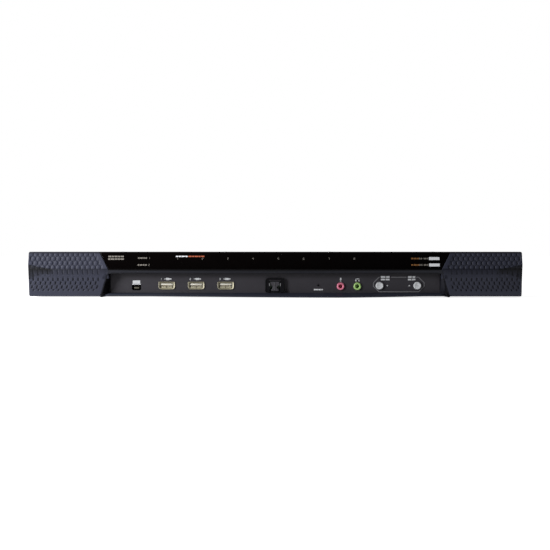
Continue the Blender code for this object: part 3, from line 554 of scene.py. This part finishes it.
def make_usb_socket(number, node):
    """Pressed steel shell with flared lips, whose lower corners are cut away."""
    x, z = middle(node)
    low, high = cad(node)
    flare = low.y
    stations = [(6.6, 2.9, 0.6, high.y), (6.6, 2.9, 0.6, flare + 0.9), (8.0, 3.7, 0.9, flare + 0.5),
                (8.05, 3.75, 0.95, flare + 0.15), (7.8, 3.55, 0.9, flare), (6.9, 3.1, 0.7, flare + 0.5),
                (6.25, 2.6, 0.5, flare + 1.5), (6.2, 2.5, 0.5, high.y - 0.9)]
    shell = rings(*[(rounded(x, z, half_x, half_z, radius, low_radius=2.6 * radius), depth)
                    for half_x, half_z, radius, depth in stations])
    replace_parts(new_piece(f"usb_socket_{number}", *shell, "connector_metal", "warm_metal"), node)
    springs = [box((x + at - 2.5, x + at + 2.5), (flare + 1.0, flare + 6.0), (z - 2.45, z - 0.7))
               for at in (-2.9, 2.9)]
    tabs = new_piece(f"usb_springs_{number}", *merge(springs), "connector_metal", "warm_metal")
    bevelled(tabs, 0.15)
    contacts = [box((x + at - 0.5, x + at + 0.5), (flare + 2.0, high.y - 1.4), (z + 0.05, z + 0.17))
                for at in (-3.5, -1.0, 1.0, 3.5)]
    new_piece(f"usb_contacts_{number}", *merge(contacts), "connector_metal", "contact_gold")


def make_laptop_socket():
    """Small socket with rounded lips and cut lower corners."""
    x, z = middle("laptop_port_shell")
    low, high = cad("laptop_port_shell")
    stations = [(4.3, 2.4, high.y), (4.3, 2.4, low.y + 0.2), (4.15, 2.25, low.y), (3.95, 2.05, low.y),
                (3.85, 2.0, low.y + 0.3), (3.85, 2.0, high.y - 0.8)]
    shell = rings(*[(rounded(x, z, half_x, half_z, 0.4, low_radius=1.3), depth)
                    for half_x, half_z, depth in stations])
    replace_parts(new_piece("laptop_socket", *shell, "black_plastic"), "laptop_port_shell")


def make_push_cap(node, body):
    """Button with a shallow dish in its face."""
    x, z = middle(node)
    low, high = cad(node)
    stem, brim = 1.6, 4.8
    stations = [(stem, high.y), (stem, high.y - 3.0), (brim, high.y - 3.0), (brim, high.y - 4.0),
                (3.75, high.y - 4.0), (3.75, low.y + 0.7), (3.6, low.y + 0.25), (3.25, low.y),
                (2.6, low.y + 0.1), (1.4, low.y + 0.3), (0.4, low.y + 0.36)]
    cap = rings(*[(circle(x, z, radius, ROUND_SIDES), depth) for radius, depth in stations])
    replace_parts(new_piece(node.replace("button", "cap"), *cap, "button_plastic", body=body), node)


def make_audio_collar(node, slot):
    """Moulded ring with a rounded front and a bore."""
    x, z = middle(node)
    low, high = cad(node)
    front, back = low.y, high.y
    stations = [(3.0, back), (3.0, front + 1.3), (3.75, front + 1.3), (3.75, front + 0.5),
                (3.5, front + 0.15), (3.1, front), (2.3, front + 0.1), (1.9, front + 0.5),
                (1.8, front + 1.0), (1.8, back - 1.0)]
    ring = rings(*[(circle(x, z, radius, ROUND_SIDES), depth) for radius, depth in stations])
    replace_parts(new_piece(node + "_ring", *ring, slot), node)


def make_latch():
    """Release latch: frame with a raised rim, bar over its opening, steel clips and waisted tab."""
    low, high = cad("latch_frame")
    tab_low, tab_high = cad("latch_tab")
    x, z = middle("latch_frame")
    face = low.y
    half_x, half_z, opening = (high.x - low.x) / 2, (high.z - low.z) / 2, tab_high.x + 0.4

    def outline(inset):
        return rounded(x, z, half_x - inset, half_z - inset, 3.2 - inset, low_radius=0.3)

    hole_z = (tab_low.z - 0.4, tab_high.z + 0.5)
    hole = rounded(x, sum(hole_z) / 2, opening, (hole_z[1] - hole_z[0]) / 2, 0.5)
    frame_solids = merge([plate_with_holes(outline(0.05), [hole], face + 0.4, high.y),
                          plate_with_holes(outline(0.05), [outline(0.85)], face, face + 0.42)])
    piece = new_piece("latch_bezel", *frame_solids, "black_plastic")
    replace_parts(piece, "latch_frame")
    bevelled(piece, 0.12)
    strip = box((x - opening - 0.8, x + opening + 0.8), (face + 0.1, face + 0.45),
                (hole_z[1] + 0.2, hole_z[1] + 0.75))
    clips = [box(sorted((x + side * opening, x + side * (opening + 0.75))), (face - 0.1, face + 0.5),
                 (tab_high.z - 4.6, tab_high.z - 1.9)) for side in (-1, 1)]
    new_piece("latch_strip", *strip, "black_plastic", "panel_plastic")
    new_piece("latch_clips", *merge(clips), "connector_metal", "clip_steel")

    def tab_outline(inset):
        foot, neck, head = 3.9 - inset, 2.0 - inset, tab_high.x - inset
        waist = [(foot, inset), (foot, 1.4), (neck + 0.4, 2.6), (neck, 3.8), (neck + 0.4, 5.0), (head, 6.2)]
        right = [(a, tab_low.z + rise) for a, rise in waist] + [(head, tab_high.z - inset)]
        return [(x + a, b) for a, b in right] + [(x - a, b) for a, b in reversed(right)]

    tab = rings((tab_outline(0), tab_high.y), (tab_outline(0), tab_low.y + 0.4),
                (tab_outline(0.35), tab_low.y))
    ridge = box((x - 0.55, x + 0.55), (tab_low.y - 0.25, tab_low.y + 0.5),
                (tab_low.z + 1.0, tab_high.z - 0.6))
    lever = new_piece("latch_lever", *merge([tab, ridge]), "black_plastic", "tab_plastic", body="latch")
    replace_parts(lever, "latch_tab")
    bevelled(lever, 0.15)


def make_shade_cheek(name, side):
    """Black wall at one end of the port recess, running down to a rounded toe under the wing: a dark piece
    put where the end of the recess lies in shade.
    """
    thick, reveal, steps = 0.25, 0.15, 8
    back = PANEL_FACE - 0.1
    outer, inner = [], []
    for step in range(steps + 1):
        z = panel_low.z - 0.2 + (RIDGE_Z - 3.8 - panel_low.z) * step / steps
        lead = float(chevron(z)) - reveal - 0.5
        front = RIDGE_DEPTH + (EDGE_DEPTH - RIDGE_DEPTH) * (RIDGE_Z - z) / (RIDGE_Z - BOTTOM) + 0.2
        end = panel_high.x + 0.2
        outer.append([(side * lead, front, z), (side * end, back, z)])
        inner.append([(side * (lead - thick), front - 0.1, z), (side * (end - thick), back, z)])
    sections = [[*near, *reversed(far)] for near, far in zip(outer, inner)]
    wall = new_piece(name, *loft(sections), "black_plastic")
    bevelled(wall, 0.08)

    toe = []
    for z, reach in ((0.1, 1.6), (0.5, 2.6), (1.4, 3.4), (panel_low.z - 0.25, 2.6)):
        front = EDGE_DEPTH - 1.2 + 0.4 * abs(z - 1.4)
        out = float(chevron(max(z, BOTTOM))) - reveal
        toe.append([(side * out, front, z), (side * (out - reach), front + 0.3, z),
                    (side * (out - reach), EDGE_DEPTH + 1.8, z), (side * out, EDGE_DEPTH + 1.8, z)])
    foot = new_piece(name.replace("cheek", "toe"), *loft(toe), "black_plastic")
    bevelled(foot, 0.7, 3)


make_port_panel()
for number, node in enumerate(USB_PORTS, 1):
    make_usb_socket(number, node)
make_laptop_socket()
make_latch()
for node in BUTTONS:
    make_push_cap(node, node.removesuffix("_button"))
for node, slot in (("mic_jack", "pink_plastic"), ("speaker_jack", "green_plastic")):
    make_audio_collar(node, slot)
# Black pieces at both ends of the recess stand in for the shade there.
make_shade_cheek("recess_cheek_left", -1)
make_shade_cheek("recess_cheek_right", 1)


# ---- printed marks

PRINT = 0.05                    # thickness of the screen print
DIGIT_BARS = {                  # across, up, and whether the bar is level
    "top": (0, 1, True), "middle": (0, 0, True), "bottom": (0, -1, True),
    "high left": (-1, 0.5, False), "high right": (1, 0.5, False),
    "low left": (-1, -0.5, False), "low right": (1, -0.5, False),
}
DIGITS = {
    1: ("high right", "low right"),
    2: ("top", "high right", "middle", "low left", "bottom"),
    3: ("top", "high right", "middle", "low right", "bottom"),
    4: ("high left", "middle", "high right", "low right"),
    5: ("top", "high left", "middle", "low right", "bottom"),
    6: ("top", "high left", "middle", "low left", "low right", "bottom"),
    7: ("top", "high right", "low right"),
    8: tuple(DIGIT_BARS),
}


def bar(x, z, width, height):
    return [(x - width / 2, z - height / 2), (x + width / 2, z - height / 2),
            (x + width / 2, z + height / 2), (x - width / 2, z + height / 2)]


def digit(number, x, z, height):
    """Numeral made of straight bars."""
    stroke, half = height * 0.17, height * 0.26
    bars = []
    for name in DIGITS[number]:
        across, up, level = DIGIT_BARS[name]
        if level:
            bars.append(bar(x, z + up * (height - stroke) / 2, 2 * half - stroke, stroke))
        else:
            bars.append(bar(x + across * half, z + up * (height - stroke) / 2, stroke, (height - stroke) / 2))
    return bars


def words(x, z, width, height, pattern=(5, 3, 6, 4)):
    """Row of short bars that stands for a line of lettering, centred on (x, z)."""
    gap = 0.4 * height
    total = sum(pattern)
    scale = (width - gap * (len(pattern) - 1)) / total
    bars, at = [], x - width / 2
    for share in pattern:
        bars.append(bar(at + share * scale / 2, z, share * scale, height))
        at += share * scale + gap
    return bars


def on_window(z):
    """Depth of the window at a height; on_strip, on_panel and on_back give their own surface's."""
    slope = (EDGE_DEPTH - RIDGE_DEPTH) / (TOP - RIDGE_Z)
    return RIDGE_DEPTH + WINDOW_INSET + slope * (z - RIDGE_Z)


def on_strip(z):
    return RIDGE_DEPTH - 0.05 + (EDGE_DEPTH - RIDGE_DEPTH) * (RIDGE_Z - z) / (RIDGE_Z - BOTTOM)


def on_panel(z):
    return panel_low.y


def on_back(z):
    return REAR_FACE


def print_marks(name, outlines, depth_at, slot="label_white", outward=-1, finish=None):
    """Thin raised print on a surface whose depth at a height is given."""
    solids = []
    for outline in outlines:
        front = [(x, depth_at(z) + outward * PRINT, z) for x, z in outline]
        back = [(x, depth_at(z) - outward * 0.02, z) for x, z in outline]
        solids.append(loft([front, back]))
    return new_piece(name, *merge(solids), slot, finish)


def print_window():
    """Bars, port numbers and light names of the window, from the left to the right."""
    port_x, port_pitch, port_z, port_count = -95.0, 24.6, 37.7, 8
    high_row, low_row, heading_z = 37.8, 31.6, 39.9
    dim = words(-154.6, 39.8, 15.2, 1.4, (3, 2, 3, 2, 3)) + words(-154.6, 37.3, 15.2, 1.4, (2, 3, 2, 2, 3))
    for number, z in ((1, high_row + 0.5), (2, low_row)):
        dim += words(-128.8, z, 8.8, 1.3, (2, 3, 2, 2)) + digit(number, -122.3, z, 1.8)
    for index in range(port_count):
        dim += digit(index + 1, port_x + port_pitch * index, port_z, 2.0)
    marks = words(-90.6, heading_z, 11.4, 1.2, (2, 2, 3, 2))
    warm = words(-76.4, heading_z, 15.6, 1.2, (3, 2, 3, 2, 3))
    amber = []
    for z in (high_row, low_row):
        amber += words(136.2, z, 7.6, 1.4, (2, 3, 2))
        dim += words(141.6, z, 3.0, 1.4, (1, 1)) + words(146.6, z, 4.4, 1.4, (2, 1))
        marks.append(bar(154.7, z, 10.2, 2.8))
    print_marks("window_print", marks, on_window)
    print_marks("window_print_dim", dim, on_window, finish="label_dim")
    print_marks("window_print_orange", warm, on_window, "label_orange")
    print_marks("window_print_amber", amber, on_window, "label_orange", finish="label_amber")


def trim_strip():
    """Bowed dark apron under the window and a painted shadow line along the top edge of the recess, under the
    strip's overhang.
    """
    half, bow, steps = CHEVRON_TIP - 1.2, 1.2, 32
    stops = [-half + 2 * half * index / steps for index in range(steps + 1)]
    apron = [(x, RIDGE_Z - 0.5 - bow * (1 - (x / half) ** 2)) for x in stops]
    apron += [(half, RIDGE_Z - 0.1), (-half, RIDGE_Z - 0.1)]
    print_marks("window_apron", [apron], on_strip, "gloss_black", finish="black_plastic")
    # Painted shadow: a black line where the strip's overhang shades the top of the recess.
    line = bar(0, RECESS_TOP + 0.45, 2 * half - 3, 0.6)
    print_marks("recess_shadow_line", [line], on_strip, "black_plastic")


def plug_icon(x, z):
    """Generic plug: a cord, a body and a blunt nose."""
    return [bar(x - 2.7, z, 1.7, 0.7), bar(x - 0.2, z, 3.3, 2.1), bar(x + 2.4, z, 1.9, 1.2)]


def outline_ring(x, z, half_x, half_z, corner, width, openings):
    """Line round a box with cut corners, left open over stretches of its top edge."""
    def shape(inset):
        a, b, c = half_x - inset, half_z - inset, corner - inset * 0.4
        right = [(a, -b + c), (a, b - c), (a - c, b)]
        left = [(c - a, b), (-a, b - c), (-a, c - b)]
        return right + left + [(c - a, -b), (a - c, -b)]
    outer, inner = shape(0), shape(width)
    parts = []
    top_edge = 2
    for index in range(len(outer)):
        after = (index + 1) % len(outer)
        corners = [outer[index], outer[after], inner[after], inner[index]]
        if index != top_edge:
            parts.append([(x + a, z + b) for a, b in corners])
    start, top = x - half_x + corner, z + half_z - width / 2
    stop = x + half_x - corner
    for low, high in zip((start, *[edge for _, edge in openings]), (*[edge for edge, _ in openings], stop)):
        if high - low > 0.1:
            parts.append(bar((low + high) / 2, top, high - low, width))
    return parts


def print_panel():
    """Signs above the sockets, the line round the buttons and their arrows."""
    laptop_x, laptop_z = middle("laptop_port_shell")
    screen = bar(laptop_x, laptop_z + 5.5, 7.2, 3.2)
    marks = [screen, bar(laptop_x, laptop_z + 3.4, 8.4, 0.7)]
    for number, node in enumerate(USB_PORTS, 1):
        x, z = middle(node)
        marks += digit(number, x - 5.9, z + 6.4, 2.0) + plug_icon(x + 1.2, z + 6.4)
    reset_x, reset_z = middle("reset_button")
    marks += words(reset_x, reset_z - 4.2, 8.8, 1.3, (5, 3, 2))
    mic_x, mic_z = middle("mic_jack")
    marks += [rounded(mic_x, mic_z + 7.1, 0.65, 1.3, 0.6), bar(mic_x, mic_z + 5.2, 0.4, 1.0),
              bar(mic_x, mic_z + 4.6, 1.8, 0.4)]
    ear_x, ear_z = middle("speaker_jack")
    marks += [bar(ear_x - 1.5, ear_z + 5.6, 1.1, 1.7), bar(ear_x + 1.5, ear_z + 5.6, 1.1, 1.7),
              bar(ear_x, ear_z + 7.2, 3.6, 0.6)]
    down_x, button_z = middle("port_down_button")
    up_x, _ = middle("port_up_button")
    centre_x = (down_x + up_x) / 2
    openings = ((down_x + 0.4, down_x + 11.0), (up_x - 10.6, up_x - 1.2))
    border = outline_ring(centre_x + 0.35, button_z + 1.16, 25.2, 7.5, 5.6, 0.8, openings)
    print_marks("button_border", border, on_panel, finish="label_grey")
    for x, width in ((down_x + 5.5, 8.6), (up_x - 5.6, 7.2)):
        marks += words(x, button_z + 8.5, width, 1.8, (4, 3)) + words(x, button_z + 6.0, width, 1.6, (3, 3))
    arrow = 1.0
    for x, way in ((down_x + 7.5, -1), (up_x - 7.8, 1)):
        foot = button_z - way * 0.6
        marks.append([(x - arrow, foot), (x + arrow, foot), (x, button_z + way * 0.9)])
    print_marks("panel_print", marks, on_panel)


print_window()
trim_strip()
print_panel()


# ---- back, cover and sides

JACK_PITCH = 15.5
ROCKER_DEPTH = 401.0            # depth of the rockers' axes
ROCKER_TILT = math.radians(8)
ROCKER_WAIST = 2.8              # its face stands this far out at the axis
ROCKER_FLARE = 1.6              # and this much further at its ends
ROCKER_HALF = 7.4               # half the length of its face
JACK_BLOCKS = ("kvm_ports_high", "kvm_ports_low", "lan_port_1", "lan_port_2")


def jack_middles(node):
    """x of every modular jack in a block."""
    low, high = cad(node)
    count = round((high.x - low.x) / JACK_PITCH)
    return [(low.x + high.x) / 2 + (index - (count - 1) / 2) * JACK_PITCH for index in range(count)]


def make_jack_contacts():
    """Eight sprung contacts along the floor of every modular jack."""
    count, pitch, half = 8, 1.02, 0.2
    wires = []
    for node in JACK_BLOCKS:
        low, high = cad(node)
        floor = low.z + 2.0
        for x in jack_middles(node):
            for index in range(count):
                at = x + (index - (count - 1) / 2) * pitch
                side = [(high.y - 2.2, floor), (high.y - 8.5, floor + 2.6), (high.y - 8.5, floor + 2.25),
                        (high.y - 2.6, floor - 0.15)]
                wires.append(loft([[(a, depth, z) for depth, z in side] for a in (at - half, at + half)]))
    new_piece("jack_contacts", *merge(wires), "connector_metal", "contact_gold")


def screw_head(centre, facing, radius=2.4):
    """Pan head with a cross recess; facing is the direction it looks in."""
    arm, half = 0.62 * radius, 0.16 * radius
    rim, crown, step, height = (circle(0, 0, radius, 20), circle(0, 0, radius * 0.93, 20), 0.42, 0.85)
    quarter = [(half, arm), (half, half), (arm, half)]
    cross = quarter + [(a, -b) for a, b in reversed(quarter)]
    cross += [(-a, -b) for a, b in quarter] + [(-a, b) for a, b in reversed(quarter)]
    points, faces = merge([rings((rim, 0.0), (rim, 0.3), (crown, step)),
                           plate_with_holes(crown, [cross], step, height)])
    x, depth, z = centre
    turned = {
        "back": lambda u, w, v: (x + u, depth + w, z + v),
        "top": lambda u, w, v: (x + u, depth + v, z + w),
        "left": lambda u, w, v: (x - w, depth + u, z + v),
        "right": lambda u, w, v: (x + w, depth + u, z + v),
    }
    return [turned[facing](*point) for point in points], faces


def make_screws():
    """Screws of the cover, the rear plates, the sides and the rack ears."""
    plate_low, plate_high = cad("power_plate")
    tray_high = cad("chassis_tray")[1]
    back_row, margin = REAR_FACE - 8.0, 4.6
    on_cover = [(side * 209.0, depth, cover_high.z) for side in (-1, 1)
                for depth in (48.0, 165.0, 282.0, back_row)]
    on_cover += [(x, back_row, cover_high.z) for x in (-70.0, 70.0)]
    solids = {"cover_screws": [screw_head(point, "top") for point in on_cover]}
    on_back = [(rear_high.x - margin, 34.5), (rear_high.x - margin, 6.0), (62.0, 34.5), (-8.0, 34.5),
               (rear_low.x + margin, 34.5), (plate_low.x + margin, 36.0), (plate_low.x + margin, 5.5),
               (-147.0, 36.4), (plate_high.x - 4.4, 36.4)]
    solids["rear_screws"] = [screw_head((x, REAR_FACE, z), "back", 2.2) for x, z in on_back]
    for side, name in ((-1, "left"), (1, "right")):
        on_side = [(side * tray_high.x, depth, 36.5) for depth in (200.0, 300.0, 392.0)]
        on_ear = [(side * (tray_high.x + 2.3), depth, z) for depth in (46.0, 64.0) for z in (10.0, 34.0)]
        solids[f"{name}_screws"] = [screw_head(point, name) for point in on_side + on_ear]
    for name, heads in solids.items():
        new_piece(name, *merge(heads), "zinc_steel", "screw_steel")


def make_monitor_socket():
    """D-shaped shell, an insert with three rows of holes, and two threaded posts."""
    high = cad("monitor_port")[1]
    x, z = middle("monitor_port")
    face = REAR_FACE + 0.3

    def dee(inset):
        a, b, c = 8.2 - inset, 7.2 - inset, 3.9 - inset
        return [(x - a, z + c), (x - b, z - c), (x + b, z - c), (x + a, z + c)]

    plate = rounded(x, z, 15.4, 6.2, 1.5)
    flange = rings((plate, face), (plate, face + 0.8))
    shell = rings((dee(0), face + 0.7), (dee(0), high.y - 0.2), (dee(0.2), high.y), (dee(0.5), high.y),
                  (dee(0.6), high.y - 0.3), (dee(0.6), face + 0.8))
    pins = [circle(x + (column - 2) * 2.3 - 1.15 * (row == 1), z + (row - 1) * 2.0, 0.5, 8)
            for row in range(3) for column in range(5)]
    insert = plate_with_holes(dee(0.95), pins, face + 1.0, high.y - 0.9)
    stations = [(2.5, face + 0.6), (2.5, face + 4.9), (2.1, face + 5.3), (1.2, face + 5.3), (1.2, face + 2.0)]
    posts = [rings(*[(circle(at, z, radius, 6), depth) for radius, depth in stations])
             for at in (x - 12.5, x + 12.5)]
    body = new_piece("monitor_socket", *merge([flange, shell, *posts]), "connector_metal")
    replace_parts(body, "monitor_port")
    bevelled(body, 0.15)
    new_piece("monitor_insert", *insert, "black_plastic")


def mirrored(outlines, x):
    """Outlines drawn about zero, moved to x and turned to read from behind."""
    return [[(x - a, b) for a, b in outline] for outline in outlines]


def print_back():
    """Port numbers and generic marks of the back."""
    marks, height = [], 2.2
    jacks = [x for node in JACK_BLOCKS[:2] for x in jack_middles(node)]
    number_z = cad("kvm_ports_high")[1].z + 1.9
    for number, x in enumerate(sorted(jacks, reverse=True), 1):
        marks += mirrored(digit(number, 0, number_z, height), x)
    for number, node in enumerate(JACK_BLOCKS[2:], 1):
        x, _ = middle(node)
        marks += words(x, number_z + 0.6, 8.0, 1.2, (3, 2))
        marks += mirrored(digit(number, 0, number_z + 3.6, height), x)
    stack_x, _ = middle("rear_usb_shell")
    marks += mirrored(plug_icon(0, 27.0), stack_x)
    monitor_x, monitor_z = middle("monitor_port")
    marks += [bar(monitor_x, monitor_z + 11.6, 6.4, 4.2), bar(monitor_x, monitor_z + 8.6, 3.4, 0.6)]
    for node in ("rear_mic_jack", "rear_speaker_jack"):
        x, z = middle(node)
        marks += words(x, z + 6.4, 5.0, 1.0, (2, 1))
    ground_x, ground_z = middle("ground_screw")
    marks += [bar(ground_x, ground_z + 7.8, 0.5, 2.2)]
    marks += [bar(ground_x, ground_z + 6.6 - 0.9 * step, 3.6 - 1.2 * step, 0.45) for step in range(3)]
    inlet_z = 36.4
    for number, node in enumerate(("power_inlet_1", "power_inlet_2"), 1):
        x, _ = middle(node)
        marks += words(x + 3.0, inlet_z, 14.0, 1.4, (3, 4, 2))
        marks += mirrored(digit(number, 0, inlet_z, height), x - 8.5)
    print_marks("rear_print", marks, on_back, outward=1)


def print_rocker(number):
    """Stroke and ring on the two halves of a power rocker, moving with it."""
    x, z = middle(f"power_rocker_{number}")
    rise, sides = 3.9, 16
    outer, inner = (circle(0, rise, radius, sides) for radius in (1.5, 1.0))
    ring = [[outer[i], outer[i + 1 - sides], inner[i + 1 - sides], inner[i]] for i in range(sides)]
    cosine, sine = math.cos(ROCKER_TILT), math.sin(ROCKER_TILT)
    solids = []
    for outline in [bar(0, -rise, 0.6, 3.2), *ring]:
        layers = []
        for lift in (0.06, -0.02):
            face = [(a, ROCKER_WAIST + ROCKER_FLARE * abs(b) / ROCKER_HALF + lift, b) for a, b in outline]
            layers.append([(x + a, ROCKER_DEPTH + out * cosine - b * sine, z + out * sine + b * cosine)
                           for a, out, b in face])
        solids.append(loft(layers))
    new_piece(f"rocker_marks_{number}", *merge(solids), "label_white", body=f"rocker_{number}")


make_jack_contacts()
make_screws()
print_rocker(1)
print_rocker(2)
make_monitor_socket()
print_back()


# ---- CAD nodes that stay

def second_finish(node, finish, inside):
    """Gives another finish to the faces whose centre (x, depth, z) passes a test."""
    node.data.materials.append(finishes[finish])
    for face in node.data.polygons:
        centre = node.matrix_world @ face.center / MM
        if inside(centre.x, centre.y - FRONT_Y, centre.z):
            face.material_index = 1


EDGE_WIDTHS = {"display_window": 0.3, "top_cover": 0.4, "chassis_tray": 0.4}
PLAIN_EDGES = ("bezel_center", "rear_panel", "power_plate")     # their many cut-outs stay sharp
INLET_PINS = ((-7, -1.5), (7, -1.5), (0, 2.5))


def finish_nodes():
    """Gives each CAD node its finish and soft edges."""
    for part in frame["record"]["subparts"]:
        name = part["node"]
        node = nodes[name]
        node.data.materials.clear()
        finish = "tongue_dark" if name == "laptop_port_tongue" else part["material_slot"]
        node.data.materials.append(finishes[finish])
        if name == "bezel_center":
            second_finish(node, "lip_plastic", lambda x, depth, z: z < panel_low.z)
        if name.startswith("power_inlet"):
            low, high = cad(name)
            x_mid, z_mid = middle(name)
            second_finish(node, "screw_steel", lambda x, depth, z: low.y + 9.0 < depth < high.y - 4.0
                          and any(abs(x - x_mid - a) < 1.1 and abs(z - z_mid - b) < 2.1
                                  for a, b in INLET_PINS))
        if name in JACK_BLOCKS:
            low, high = cad(name)
            sockets = jack_middles(name)
            second_finish(node, "black_plastic", lambda x, depth, z: min(abs(x - at) for at in sockets) < 6.0
                          and low.y + 2.9 < depth < high.y - 0.1 and low.z + 1.0 < z < high.z - 1.0)
        if name in PLAIN_EDGES:
            continue
        weld = node.modifiers.new("joined_points", "WELD")
        weld.merge_threshold = 0.000002
        flat = node.modifiers.new("flat_faces", "DECIMATE")
        flat.decimate_type = "DISSOLVE"
        flat.angle_limit = math.radians(0.6)
        bevelled(node, EDGE_WIDTHS.get(name, 0.15))
        node.data.shade_smooth()


finish_nodes()


# ---- studio, in metres

SURROUND_LIGHT = 0.36           # strength of the white surround for all but the camera
FLOOR_GLOW = 0.8
LAMP_SIZE = 0.2
KEY_POWER = 3.5
LOW_POWER = 3.8
LENS = 67.58


def add_card(name, position, width, height, turn):
    """Black card that shades the set from the side or front; the camera doesn't see it."""
    bpy.ops.mesh.primitive_plane_add(size=1, location=position,
                                     rotation=(math.radians(90), 0, math.radians(turn)))
    card = bpy.context.object
    card.name = name
    card.scale = (width, height, 1)
    card.visible_camera = False
    black = bpy.data.materials.new(name)
    black.use_nodes = True
    set_inputs(shader_of(black), Base_Color=(0.003, 0.003, 0.003, 1), Roughness=1.0)
    card.data.materials.append(black)


def add_lamp(name, position, target, power):
    """Square soft lamp that looks at a target."""
    lamp = bpy.data.lights.new(name, "AREA")
    lamp.shape = "SQUARE"
    lamp.size = LAMP_SIZE
    lamp.energy = power
    item = bpy.data.objects.new(name, lamp)
    item.location = position
    item.rotation_euler = (Vector(target) - Vector(position)).to_track_quat("-Z", "Y").to_euler()
    bpy.context.scene.collection.objects.link(item)


def add_studio():
    """Pale floor, a white surround that lights softly, lamps on the left and dark cards."""
    scene = bpy.context.scene
    scene.view_settings.view_transform = "Standard"
    world = bpy.data.worlds.new("studio")
    scene.world = world
    world.use_nodes = True
    tree = world.node_tree
    background = set_inputs(tree.nodes["Background"], Color=(1, 1, 1, 1))
    path = tree.nodes.new("ShaderNodeLightPath")
    strength = set_inputs(tree.nodes.new("ShaderNodeMapRange"), To_Min=SURROUND_LIGHT, To_Max=1.0)
    tree.links.new(path.outputs["Is Camera Ray"], strength.inputs["Value"])
    tree.links.new(strength.outputs["Result"], background.inputs["Strength"])

    bpy.ops.mesh.primitive_plane_add(size=12, location=(0, 0, -0.0004))
    floor = bpy.context.object
    floor.name = "floor"
    pale = surface("floor", (0.9, 0.9, 0.9), 0.8, grain=40.0, bump=0.0, tint=0.01)
    set_inputs(shader_of(pale), Emission_Color=(1, 1, 1, 1), Emission_Strength=FLOOR_GLOW)
    floor.data.materials.append(pale)
    floor.visible_diffuse = False

    add_card("front_card", (0.4, -1.6, 0.8), 4.6, 1.9, 0)
    add_card("right_card", (0.9, -0.5, 0.5), 1.6, 1.0, 90)
    add_lamp("key", (-0.52, -0.48, 0.4), (-0.2, -0.2, 0.02), KEY_POWER)
    add_lamp("low_left", (-0.62, -0.55, 0.1), (-0.15, -0.2, 0.02), LOW_POWER)


def add_camera():
    """Nearly square view of the front from a metre away, level with the top of the bezel."""
    scene = bpy.context.scene
    distance, turn, height = 1.0, math.radians(0.5), TOP * MM + 0.0016
    target = Vector((0.0002, place((0, RIDGE_DEPTH, 0)).y, 0.0219))
    position = target + Vector((math.sin(turn), -math.cos(turn), 0)) * distance
    position.z = height
    view = bpy.data.cameras.new("camera")
    view.lens = LENS
    camera = bpy.data.objects.new("camera", view)
    camera.location = position
    camera.rotation_euler = (target - position).to_track_quat("-Z", "Y").to_euler()
    scene.collection.objects.link(camera)
    scene.camera = camera


add_studio()
add_camera()
